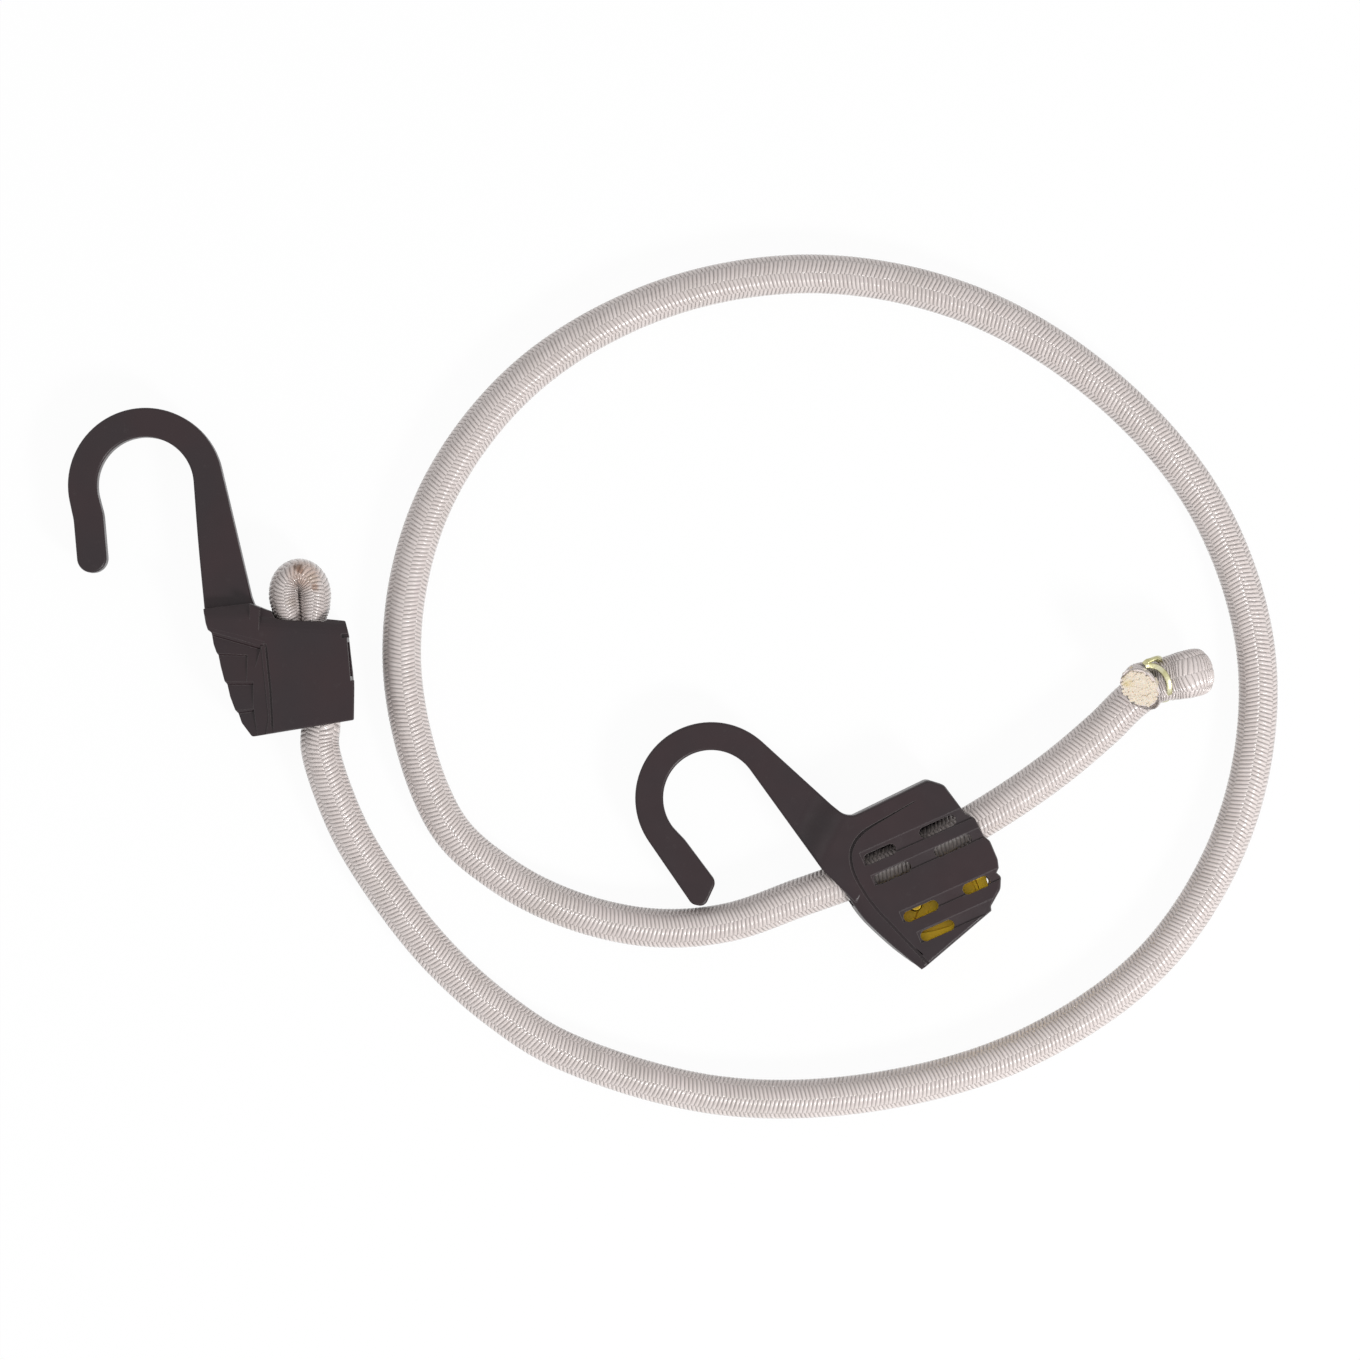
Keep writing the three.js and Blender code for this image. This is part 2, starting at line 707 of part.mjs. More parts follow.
const heelAngle = THREE.MathUtils.degToRad(144);
const toothLeanShare = 0.15;
const leverPlateShares = [[0.62, 0.09, 0.18], [1, 0.09, 0.115], [0.93, -0.41, 0.115]];
const leverFootShares = [[0.3, -0.56], [0.12, -0.545], [-0.115, -0.5]];
const leverHeelShares = [[-0.43, -0.28, 0.18], [-0.43, -0.04, 0.18]];

function leverOutline() {
  const noseY = pivotDrop;
  const teeth = Math.round(noseLength / toothPitch);
  const pitch = noseLength / teeth;
  const points = [];
  for (const point of arcPoints(0, 0, noseY, heelAngle, Math.PI / 2)) {
    points.push({ x: point.x, y: point.y });
  }
  for (let i = 0; i < teeth; i += 1) {
    points.push({ x: (i + toothLeanShare) * pitch, y: noseY - toothDepth });
    points.push({ x: (i + 1) * pitch, y: noseY });
  }
  points.push({ x: noseLength, y: noseY - 2 * toothDepth });
  points.push(...cornersOf(leverPlateShares, leverLength, leverLength));
  points.push(...cornersOf(leverFootShares, leverLength, leverLength));
  points.push(...cornersOf(leverHeelShares, leverLength, leverLength));
  return rounded(points);
}

const pocketShares = [
  [0.12, -0.42, 0.05], [-0.14, -0.36, 0.05], [-0.3, -0.2, 0.05], [-0.2, -0.02], [0.3, 0.02, 0.05],
  [0.86, 0.0, 0.05], [0.82, -0.31, 0.05], [0.3, -0.44, 0.05],
];

function leverSolid() {
  const low = shellWall + touchGap;
  const high = bodyThickness - low;
  let solid = plate(leverOutline(), low, high);
  const pocket = rounded(cornersOf(pocketShares, leverLength, leverLength));
  const hub = post(0, 0, hubRadius, 0, bodyThickness);
  for (const [from, to] of [[0, low + leverPocket], [high - leverPocket, bodyThickness]]) {
    solid = solid.subtract(plate(pocket, from, to).subtract(hub));
  }
  const recess = bossHeight + touchGap;
  for (const [from, to] of [[0, low + recess], [high - recess, bodyThickness]]) {
    solid = solid.subtract(post(0, 0, hubRadius + touchGap, from, to));
  }
  return solid.subtract(post(0, 0, pinRadius + touchGap, 0, bodyThickness));
}

function pinGeometry() {
  const geometry = new THREE.CylinderGeometry(pinRadius, pinRadius, pinLength, 24);
  geometry.rotateX(Math.PI / 2);
  return geometry;
}

// Crimped ring: flat wire bent round both strands, its two ends almost meeting on one side

const ringOpen = 1.2;
const ringAsideShare = 0.1;
const ringCornerShare = 0.6;
const ringEdgeShare = 0.2;

function ringGeometry(halfWidth, halfHeight) {
  const points = [];
  const radius = Math.min(halfWidth, halfHeight) * ringCornerShare;
  const corners = rounded([
    { x: -halfWidth, y: halfHeight, r: radius }, { x: -halfWidth, y: -halfHeight, r: radius },
    { x: halfWidth, y: -halfHeight, r: radius }, { x: halfWidth, y: halfHeight, r: radius },
  ]);
  const start = new THREE.Vector2(-ringOpen / 2 - halfWidth * ringAsideShare, halfHeight);
  const end = new THREE.Vector2(ringOpen / 2 - halfWidth * ringAsideShare, halfHeight);
  points.push(start, ...corners, end);
  const wire = points.map((point) => new THREE.Vector2(point.x, point.y));
  const outer = shifted(wire, -ringWire / 2);
  const inner = shifted(wire, ringWire / 2).reverse();
  const shape = new THREE.Shape([...outer, ...inner]);
  const edge = ringWire * ringEdgeShare;
  const geometry = new THREE.ExtrudeGeometry(shape, {
    depth: ringWidth - 2 * edge, bevelEnabled: true, bevelThickness: edge, bevelSize: edge,
    bevelOffset: -edge, bevelSegments: 1,
  });
  geometry.translate(0, 0, edge - ringWidth / 2);
  return geometry;
}

// Tail fold, in its own frame: the lower strand runs out, folds up and comes back on top.
// The cut end is lifted, so that the rubber core shows.

const foldLow = 6.6;
const foldRise = 8.7;
const foldPinchShare = 0.86;
const foldPinchHeightShare = 0.84;
const cutLift = THREE.MathUtils.degToRad(42);
const cutReach = 6;

// Each place on the lower strand and the bend is [along, up, width, height], shares of the
// reach, the rise and the strand's half sizes
const foldShares = [
  [0.2, 0, 0.95, 0.96], [0.5, -0.035, 1, 0.94], [0.65, 0.14, 1, 0.85], [0.775, 0.5, 1, 0.8],
  [0.65, 0.86, 1, 0.85], [0.5, 1.035, 1, 0.94], [0.25, 1, 0.95, 0.94],
];
const cutShares = [[0.6, 0.3, 0.98, 0.98], [1, 0.7, 1.02, 1.12]];
const cutAside = THREE.MathUtils.degToRad(16);

function foldStations() {
  const place = (x, z, widthShare, heightShare) => ({
    at: new THREE.Vector3(x, 0, z),
    halfWidth: foldHalfHeight * heightShare,
    halfHeight: foldHalfWidth * widthShare,
  });
  const high = foldLow + foldRise;
  const lift = cutReach * Math.tan(cutLift);
  return stationsAlong([
    place(touchGap / 2, foldLow, foldPinchShare, 1),
    ...foldShares.map(([along, up, ...sizes]) => place(along * foldReach, foldLow + up * foldRise, ...sizes)),
    place(ringWidth / 2, high, foldPinchShare, foldPinchHeightShare),
    place(-ringWidth, high, foldPinchShare, foldPinchHeightShare),
    ...cutShares.map(([along, up, ...sizes]) => {
      const station = place(-along * cutReach, high + up * lift, ...sizes);
      station.at.y = -along * along * cutReach * Math.tan(cutAside);
      return station;
    }),
  ], new THREE.Vector3(0, 1, 0));
}

// Route of the long stretch: points chosen by hand along the spiral, then the clamp's arc.
// The last entry of each is the height of the cord's axis above the floor.

const floorAxis = cordRadius + floorLift;
const spiral = [
  [-53.1, -15.4, 7.5], [-46.8, -34.4, 6.0], [-36.5, -51.4, floorAxis], [-24.0, -67.0, floorAxis],
  [-9.1, -80.4, floorAxis], [7.8, -90.9, floorAxis], [46.1, -101.9, floorAxis], [86.0, -100.9, floorAxis],
  [124.3, -89.5, floorAxis], [156.5, -66.5, floorAxis], [176.3, -32.0, floorAxis], [180.9, 7.4, floorAxis],
  [168.8, 45.1, floorAxis], [143.0, 75.4, floorAxis], [109.0, 96.2, floorAxis], [70.0, 103.8, floorAxis],
  [30.8, 97.0, floorAxis], [-3.5, 76.6, floorAxis], [-26.3, 44.3, floorAxis], [-33.1, 5.1, floorAxis],
  [-22.5, -32.9, floorAxis], [-8.1, -46.6, floorAxis], [9.8, -55.4, floorAxis], [29.5, -59.5, floorAxis],
  [48.3, -58.3, 6.1], [67.3, -52.0, 7.4],
];
const arcAngles = [-71, -66, -60, -53, -46.5];
const arcHeights = [7.9, 8.0, 8.0, 7.8, 7.3];

function cordRoute() {
  const points = [];
  const fixed = (x, y) => new THREE.Vector3(
    fixedX + x * Math.cos(fixedTurn) - y * Math.sin(fixedTurn),
    fixedY + x * Math.sin(fixedTurn) + y * Math.cos(fixedTurn),
    midHeight,
  );
  points.push(fixed(0, loopStart - touchGap), fixed(0, fixedMouth));
  spiral.forEach(([x, y, z]) => points.push(new THREE.Vector3(x, y, z)));
  arcAngles.forEach((degrees, i) => {
    const angle = THREE.MathUtils.degToRad(degrees);
    points.push(new THREE.Vector3(
      arcX + arcRadius * Math.cos(angle), arcY + arcRadius * Math.sin(angle), arcHeights[i],
    ));
  });
  const tail = (x) => new THREE.Vector3(
    tailX + x * Math.cos(tailTurn), tailY + x * Math.sin(tailTurn), foldLow,
  );
  points.push(tail(-cordRadius), tail(-touchGap / 2));
  return points;
}

function cordShape(radius, hole) {
  const circle = (r) => {
    const points = [];
    for (let i = 0; i < cordSides; i += 1) {
      const angle = 2 * Math.PI * i / cordSides;
      points.push(new THREE.Vector2(r * Math.cos(angle), r * Math.sin(angle)));
    }
    return points;
  };
  const shape = new THREE.Shape(circle(radius));
  if (hole > 0) {
    shape.holes.push(new THREE.Path(circle(hole).reverse()));
  }
  return shape;
}

function cordGeometry(radius, hole) {
  const extrudePath = new THREE.CatmullRomCurve3(cordRoute(), false, 'centripetal');
  return new THREE.ExtrudeGeometry(cordShape(radius, hole), {
    steps: cordSteps, bevelEnabled: false, extrudePath,
  });
}

// Assembly

const bungee = new THREE.Group();
const fixedEnd = new THREE.Group();
const clampEnd = new THREE.Group();
const tailEnd = new THREE.Group();
fixedEnd.position.set(fixedX, fixedY, 0);
fixedEnd.rotation.z = fixedTurn;
clampEnd.position.set(clampX, clampY, 0);
clampEnd.rotation.z = clampTurn;
tailEnd.position.set(tailX, tailY, 0);
tailEnd.rotation.z = tailTurn;
bungee.add(fixedEnd, clampEnd, tailEnd);

const loop = loopStations();
const fold = foldStations();
const coreInset = sheathWall + touchGap;

fixedEnd.add(meshOf('fixed_hook', geometryOf(fixedHookSolid()), plasticColour));
fixedEnd.add(meshOf('loop_sheath', sweptTube(loop, 0, sheathWall), braidColour, 0.7));
fixedEnd.add(meshOf('loop_core', sweptTube(loop, coreInset, 0), rubberColour, 0.8));
const loopRingMesh = meshOf(
  'loop_ring',
  ringGeometry(
    (loopSpread + loopHalfWidth) * pinchShare + touchGap + ringWire / 2,
    loopHalfHeight * pinchHeightShare + touchGap + ringWire / 2,
  ),
  zincColour, 0.35, 1,
);
loopRingMesh.rotation.x = Math.PI / 2;
loopRingMesh.position.set(loopMiddle, loopRingShare * loopReach, midHeight);
fixedEnd.add(loopRingMesh);

bungee.add(meshOf('cord_sheath', cordGeometry(cordRadius, boreRadius), braidColour, 0.7));
bungee.add(meshOf('cord_core', cordGeometry(coreRadius, 0), rubberColour, 0.8));

tailEnd.add(meshOf('fold_sheath', sweptTube(fold, 0, sheathWall), braidColour, 0.7));
tailEnd.add(meshOf('fold_core', sweptTube(fold, coreInset, 0), rubberColour, 0.8));
const foldRingLow = foldLow - cordRadius - touchGap / 2;
const foldRingHigh = foldLow + foldRise + foldHalfHeight * foldPinchHeightShare + 2 * touchGap;
const foldRingMesh = meshOf(
  'fold_ring',
  ringGeometry(
    foldHalfWidth * foldPinchShare + touchGap + ringWire / 2,
    (foldRingHigh - foldRingLow + ringWire) / 2,
  ),
  zincColour, 0.35, 1,
);
foldRingMesh.rotation.set(Math.PI / 2, Math.PI / 2, 0);
foldRingMesh.position.set(0, 0, (foldRingLow + foldRingHigh) / 2);
tailEnd.add(foldRingMesh);

clampEnd.add(meshOf('clamp_hook', geometryOf(clampHookSolid()), plasticColour));
clampEnd.add(meshOf('rear_cover', geometryOf(rearCoverSolid()), plasticColour));
const lever = meshOf('cam_lever', geometryOf(leverSolid()), leverColour, 0.4);
lever.position.set(pivotX, pivotY, 0);
clampEnd.add(lever);
const pin = meshOf('lever_pin', pinGeometry(), steelColour, 0.3, 1);
pin.position.set(pivotX, pivotY, midHeight);
clampEnd.add(pin);

export default bungee;
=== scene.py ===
# Adjustable bungee cord: a braided elastic cord with a moulded hook at one end and a sliding
# clamp hook near the other. The pieces follow in the order in which the cord is put together.
import math

import bmesh
import bpy
from mathutils import Matrix, Vector


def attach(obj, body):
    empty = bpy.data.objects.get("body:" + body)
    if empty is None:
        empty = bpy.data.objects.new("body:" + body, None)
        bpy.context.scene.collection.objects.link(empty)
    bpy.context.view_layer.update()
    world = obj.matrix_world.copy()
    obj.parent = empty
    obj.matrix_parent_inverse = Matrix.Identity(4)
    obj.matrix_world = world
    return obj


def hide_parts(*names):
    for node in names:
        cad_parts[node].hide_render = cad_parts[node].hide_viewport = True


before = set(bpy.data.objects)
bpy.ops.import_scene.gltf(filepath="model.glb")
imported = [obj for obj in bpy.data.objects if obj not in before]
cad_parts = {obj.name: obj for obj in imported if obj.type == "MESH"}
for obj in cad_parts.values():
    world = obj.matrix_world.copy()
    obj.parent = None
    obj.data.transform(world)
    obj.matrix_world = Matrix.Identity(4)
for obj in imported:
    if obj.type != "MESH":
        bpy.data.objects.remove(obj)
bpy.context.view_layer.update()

CORD_BODY = "cord_and_fixed_hook"
CLAMP_BODY = "sliding_hook"
LEVER_BODY = "lever"


# Studio. A pale table under a white sky, one large soft lamp at the lower right and a weak one
# opposite. The camera looks straight down from 1.6 m, as the photograph was taken.
PHOTO_WIDTH, LENS, SENSOR = 0.34, 170, 36
VIEW_X, VIEW_Y, CORD_LEVEL = 0.0365, 0.0021, 0.008
TABLE_HALF, TABLE_DROP = 2.5, 0.0003
SKY_STRENGTH, SKY_WHITE, TABLE_WHITE = 0.62, 1.0, 0.95


def placed(name, data, place=(0, 0, 0)):
    """A new object in the scene."""
    thing = bpy.data.objects.new(name, data)
    thing.location = place
    bpy.context.scene.collection.objects.link(thing)
    return thing


def new_piece(name, vertices, faces, edges=()):
    mesh = bpy.data.meshes.new(name)
    mesh.from_pydata([tuple(vertex) for vertex in vertices], list(edges), faces)
    return placed(name, mesh)


def soft_lamp(name, place, size, power):
    lamp = bpy.data.lights.new(name, "AREA")
    lamp.shape = "DISK"
    lamp.size = size
    lamp.energy = power
    aim = Vector((VIEW_X, VIEW_Y, 0)) - Vector(place)
    placed(name, lamp, place).rotation_euler = aim.to_track_quat("-Z", "Y").to_euler()


def joined(tree, node, inputs):
    """Links outputs, or writes plain values, to a node's inputs, in order or by name."""
    for key, value in inputs.items() if isinstance(inputs, dict) else enumerate(inputs):
        if hasattr(value, "is_output"):
            tree.links.new(value, node.inputs[key])
        elif value is not None:
            node.inputs[key].default_value = value


def add_node(tree, kind, inputs=(), **settings):
    node = tree.nodes.new(kind)
    for name, value in settings.items():
        setattr(node, name, value)
    joined(tree, node, inputs)
    return node


def reckon(tree, operation, *values):
    """One Math node, in a shader tree or a geometry tree."""
    return add_node(tree, "ShaderNodeMath", values, operation=operation).outputs[0]


def white_to_camera(tree, lit, share, output):
    """Cameras and mirrors see something partly as plain white, and it stays lit for the rest."""
    path = tree.nodes.new("ShaderNodeLightPath").outputs
    seen = reckon(tree, "MAXIMUM", path["Is Camera Ray"], path["Is Glossy Ray"])
    seen = reckon(tree, "MAXIMUM", seen, path["Is Transmission Ray"])
    white = add_node(tree, "ShaderNodeEmission", {"Color": (1, 1, 1, 1), "Strength": 1.0})
    mix = add_node(tree, "ShaderNodeMixShader", (
        reckon(tree, "MULTIPLY", seen, share), lit.outputs[0], white.outputs[0]))
    joined(tree, tree.nodes[output], {"Surface": mix.outputs[0]})


camera_data = bpy.data.cameras.new("overhead_camera")
camera_data.lens = LENS
camera_data.sensor_width = SENSOR
camera_data.clip_end = 20
camera_place = (VIEW_X, VIEW_Y, CORD_LEVEL + PHOTO_WIDTH * LENS / SENSOR)
bpy.context.scene.camera = placed("overhead_camera", camera_data, camera_place)
bpy.context.scene.view_settings.view_transform = "Standard"

soft_lamp("key_softbox", (0.85, -0.82, 0.95), 0.33, 15.5)
soft_lamp("fill_softbox", (-0.8, 0.5, 1.1), 0.9, 1.2)

sky = bpy.data.worlds.new("white_studio")
sky.use_nodes = True
sky_light = sky.node_tree.nodes["Background"]
joined(sky.node_tree, sky_light, {"Color": (1, 1, 1, 1), "Strength": SKY_STRENGTH})
white_to_camera(sky.node_tree, sky_light, SKY_WHITE, "World Output")
bpy.context.scene.world = sky

paper = bpy.data.materials.new("white_paper")
paper.use_nodes = True
paper_shader = paper.node_tree.nodes["Principled BSDF"]
joined(paper.node_tree, paper_shader, {"Base Color": (0.9, 0.9, 0.9, 1), "Roughness": 0.9})
white_to_camera(paper.node_tree, paper_shader, TABLE_WHITE, "Material Output")
table = new_piece("table", [
    (x * TABLE_HALF, y * TABLE_HALF, -TABLE_DROP) for x, y in ((-1, -1), (1, -1), (1, 1), (-1, 1))
], [(0, 1, 2, 3)])
table.data.materials.append(paper)


# Braided cord. A rubber core is covered by a tight polyester braid of eight columns whose yarns
# lie almost across the cord. The long stretch leaves the fixed hook and ends in the tail's ring.
MM = 0.001
UP = Vector((0, 0, 1))
CORD_RADIUS, CORD_SIDES, RING_SPACING = 5.0, 24, 0.27
BRAID_COLUMNS, YARN_PITCH, YARN_LEAN, YARN_RELIEF = 8, 1.06, 0.75, 0.28
HOOK_LEVEL, FLOOR_AXIS, ROUTE_STEPS = 8.0, 5.2, 30
ARC_CENTRE, ARC_RADIUS = Vector((19.3, 123.9, 0)), 181.8


def lying(x, y, degrees):
    """The place of a piece that lies flat and is turned about the vertical."""
    return Matrix.Translation((x, y, 0)) @ Matrix.Rotation(math.radians(degrees), 4, "Z")


def on_arc(degrees, height):
    """A point over the cord's arc through the sliding hook."""
    turn = math.radians(degrees)
    return ARC_CENTRE + Vector((math.cos(turn) * ARC_RADIUS, math.sin(turn) * ARC_RADIUS, height))


FIXED_PLACE = lying(-53, -12.1, 5)
TAIL_PLACE = lying(156.5, 1.9, 14)

# Points without a height of their own lie on the floor.
spiral = [
    (-53.5, -14.9, 7.5), (-46.8, -34.4, 6.0), (-36.5, -51.4), (-24.0, -67.0), (-9.1, -80.4),
    (7.8, -90.9), (46.1, -101.9), (86.0, -100.9), (124.3, -89.5), (156.5, -66.5), (176.3, -32.0),
    (180.9, 7.4), (168.8, 45.1), (143.0, 75.4), (109.0, 96.2), (70.0, 103.8), (30.8, 97.0),
    (-3.5, 76.6), (-26.3, 44.3), (-33.1, 5.1), (-22.5, -32.9), (-8.1, -46.6), (9.8, -55.6),
    (29.5, -59.9), (48.3, -58.6, 6.1), (67.3, -52.0, 7.4),
]
clamp_route = [(-71, 7.9), (-66, 8.0), (-60, 8.0), (-53, 7.8), (-47.5, 7.3), (-44.3, 6.9)]

cord_route = [FIXED_PLACE @ Vector((0, y, HOOK_LEVEL)) for y in (3.9, 2.8)]
cord_route += [Vector((*point, FLOOR_AXIS)[:3]) for point in spiral]
cord_route += [on_arc(degrees, height) for degrees, height in clamp_route]
cord_route.append(TAIL_PLACE @ Vector((-0.15, 0, 6.6)))


def smooth_line(places, steps):
    """Points on a centripetal Catmull-Rom curve, as vectors of any length, steps to each span."""
    ends = [places[0] * 2 - places[1], *places, places[-1] * 2 - places[-2]]
    line = []
    for i in range(1, len(ends) - 2):
        a, b, c, d = ends[i - 1:i + 3]
        first, second, third = (
            max((q.xyz - p.xyz).length, 1e-6) ** 0.5 for p, q in ((a, b), (b, c), (c, d))
        )
        start = ((b - a) / first - (c - a) / (first + second) + (c - b) / second) * second
        end = ((c - b) / second - (d - b) / (second + third) + (d - c) / third) * second
        for k in range(steps):
            t = k / steps
            line.append(b + start * t + (c * 3 - b * 3 - start * 2 - end) * t * t
                        + (b * 2 - c * 2 + start + end) * t * t * t)
    return line + [ends[-2].copy()]


def headings(line):
    """The direction of an open line at each of its points."""
    last = len(line) - 1
    return [(line[min(i + 1, last)] - line[max(i - 1, 0)]).normalized() for i in range(last + 1)]


def strand_line(stations, plane, steps):
    """Stations of (x, y, z, half width, half height) blended along a smooth line."""
    centres = smooth_line([Vector(station[:3]) for station in stations], steps)
    line = []
    for i, (centre, heading) in enumerate(zip(centres, headings(centres))):
        k = min(i // steps, len(stations) - 2)
        t = i / steps - k
        ease = t * t * (3 - 2 * t)
        wide, high = (stations[k][n] + (stations[k + 1][n] - stations[k][n]) * ease for n in (3, 4))
        side = plane.cross(heading).normalized()
        line.append((centre, side, heading.cross(side), wide, high))
    return line


def braid_fields(tree, around, along, columns, pitch, lean):
    """Where a point lies in the braid: column, place across it, yarn, and place across the yarn."""
    place = reckon(tree, "MULTIPLY", around, columns)
    column = reckon(tree, "FLOOR", place)
    across = reckon(tree, "SUBTRACT", place, column)
    odd = reckon(tree, "MODULO", column, 2.0)
    hand = reckon(tree, "MULTIPLY_ADD", odd, -2.0, 1.0)
    slant = reckon(tree, "MULTIPLY", reckon(tree, "SUBTRACT", across, 0.5), lean)
    shift = reckon(tree, "MULTIPLY_ADD", hand, slant, reckon(tree, "MULTIPLY", odd, 0.5))
    count = reckon(tree, "ADD", reckon(tree, "DIVIDE", along, pitch), shift)
    yarn = reckon(tree, "FLOOR", count)
    return column, across, yarn, reckon(tree, "SUBTRACT", count, yarn)


def hump(tree, share, power):
    """One in the middle of a span from zero to one, falling to zero at both ends."""
    from_middle = reckon(tree, "ABSOLUTE", reckon(tree, "MULTIPLY_ADD", share, 2.0, -1.0))
    return reckon(tree, "SUBTRACT", 1.0, reckon(tree, "POWER", from_middle, power))


def scaled(tree, vector, factor):
    return add_node(tree, "ShaderNodeVectorMath", {0: vector, "Scale": factor},
                    operation="SCALE").outputs[0]


def new_group(name, kind, inputs, outputs):
    """An empty node group, the outputs of its Group Input node, and its Group Output node."""
    tree = bpy.data.node_groups.new(name, kind)
    for socket_name, socket_kind, value in inputs:
        socket = tree.interface.new_socket(
            name=socket_name, in_out="INPUT", socket_type="NodeSocket" + socket_kind)
        if value is not None:
            socket.default_value = value
    for socket_name, socket_kind in outputs:
        tree.interface.new_socket(
            name=socket_name, in_out="OUTPUT", socket_type="NodeSocket" + socket_kind)
    return tree, tree.nodes.new("NodeGroupInput").outputs, tree.nodes.new("NodeGroupOutput")


def painted(tree, geometry, material, out):
    """Ends a geometry tree with real instances and their material."""
    real = add_node(tree, "GeometryNodeRealizeInstances", (geometry,))
    last = add_node(tree, "GeometryNodeSetMaterial", {"Geometry": real.outputs[0], "Material": material})
    joined(tree, out, (last.outputs[0],))


def braided_tube_tree():
    """Geometry nodes that turn a route into a braided tube of the half sizes that it carries."""
    tree, given, out = new_group("braided_tube", "GeometryNodeTree", [
        ("Route", "Geometry", None), ("Ring Spacing", "Float", 0.0003), ("Sides", "Int", CORD_SIDES),
        ("Columns", "Int", BRAID_COLUMNS), ("Density", "Float", 1.0),
        ("Yarn Pitch", "Float", YARN_PITCH * MM), ("Lean", "Float", YARN_LEAN),
        ("Relief", "Float", YARN_RELIEF * MM), ("Yarn", "Material", None),
    ], [("Tube", "Geometry")])

    def captured(geometry, items):
        node = add_node(tree, "GeometryNodeCaptureAttribute", (geometry,))
        for name, kind, value in items:
            node.capture_items.new(kind, name)
            joined(tree, node, {name: value})
        return node.outputs

    def carried(name, kind):
        return add_node(tree, "GeometryNodeInputNamedAttribute", {"Name": name},
                        data_type=kind).outputs["Attribute"]

    def measured(name):
        return tree.nodes.new("GeometryNodeSplineParameter").outputs[name]

    line = add_node(tree, "GeometryNodeMeshToCurve", {"Mesh": given["Route"]})
    even = add_node(tree, "GeometryNodeResampleCurve", {
        "Curve": line.outputs["Curve"], "Length": given["Ring Spacing"]}, mode="LENGTH")
    rail = captured(even.outputs["Curve"], [
        ("centre", "VECTOR", tree.nodes.new("GeometryNodeInputPosition").outputs[0]),
        ("along", "FLOAT", reckon(tree, "MULTIPLY", measured("Length"), given["Density"])),
    ])
    circle = add_node(tree, "GeometryNodeCurvePrimitiveCircle", {"Resolution": given["Sides"]})
    hoop = captured(circle.outputs["Curve"], [("around", "FLOAT", measured("Factor"))])
    tube = add_node(tree, "GeometryNodeCurveToMesh", {
        "Curve": rail[0], "Profile Curve": hoop[0], "Fill Caps": True})

    turn = reckon(tree, "MULTIPLY", hoop["around"], 2 * math.pi)
    _, across, _, inside = braid_fields(
        tree, hoop["around"], rail["along"], given["Columns"], given["Yarn Pitch"], given["Lean"])
    border = reckon(tree, "MULTIPLY_ADD", hump(tree, across, 6.0), 0.4, 0.6)
    crest = reckon(tree, "MULTIPLY", hump(tree, inside, 2.0), border)
    sink = reckon(tree, "MULTIPLY", reckon(tree, "SUBTRACT", crest, 1.0), given["Relief"])
    place = rail["centre"]
    shares = []
    for wave, way, half in (("COSINE", "side", "half_width"), ("SINE", "up", "half_height")):
        shares.append(reckon(tree, wave, turn))
        reach = reckon(tree, "ADD", carried(half, "FLOAT"), sink)
        reach = scaled(tree, carried(way, "FLOAT_VECTOR"), reckon(tree, "MULTIPLY", reach, shares[-1]))
        place = add_node(tree, "ShaderNodeVectorMath", (place, reach), operation="ADD").outputs[0]
    moved = add_node(tree, "GeometryNodeSetPosition", {
        "Geometry": tube.outputs["Mesh"], "Position": place})
    where = add_node(tree, "ShaderNodeCombineXYZ", (*shares, rail["along"]))
    stored = add_node(tree, "GeometryNodeStoreNamedAttribute", {
        "Geometry": moved.outputs[0], "Name": "braid_place", "Value": where.outputs[0],
    }, data_type="FLOAT_VECTOR", domain="POINT")
    smooth = add_node(tree, "GeometryNodeSetShadeSmooth", {"Geometry": stored.outputs[0]})
    painted(tree, smooth.outputs[0], given["Yarn"], out)
    return tree


def settled(piece):
    """Turns what the modifiers make into the piece's plain mesh."""
    bpy.context.view_layer.update()
    depsgraph = bpy.context.evaluated_depsgraph_get()
    mesh = bpy.data.meshes.new_from_object(
        piece.evaluated_get(depsgraph), preserve_all_data_layers=True, depsgraph=depsgraph)
    piece.modifiers.clear()
    piece.data = mesh
    mesh.name = piece.name
    return piece


def grown(piece, tree, values):
    """Runs a geometry tree on a piece, with values for the tree's named inputs."""
    step = piece.modifiers.new(tree.name, "NODES")
    step.node_group = tree
    sockets = {item.name: item.identifier for item in tree.interface.items_tree}
    for name, value in values.items():
        step[sockets[name]] = value
    return settled(piece)


def braided_strand(name, line, sides, spacing, density=1.0):
    """A braided piece along a line of (centre, side, up, half width, half height), in millimetres."""
    strand = new_piece(name, [entry[0] * MM for entry in line], [],
                       [(i, i + 1) for i in range(len(line) - 1)])
    attributes = strand.data.attributes
    for index, carried in ((1, "side"), (2, "up")):
        attributes.new(carried, "FLOAT_VECTOR", "POINT").data.foreach_set(
            "vector", [value for entry in line for value in entry[index]])
    for index, carried in ((3, "half_width"), (4, "half_height")):
        attributes.new(carried, "FLOAT", "POINT").data.foreach_set(
            "value", [entry[index] * MM for entry in line])
    grown(strand, braided_tube, {
        "Ring Spacing": spacing * MM, "Sides": sides, "Density": density, "Yarn": polyester_braid})
    for spare in ("side", "up", "half_width", "half_height"):
        if spare in strand.data.attributes:
            strand.data.attributes.remove(strand.data.attributes[spare])
    return strand


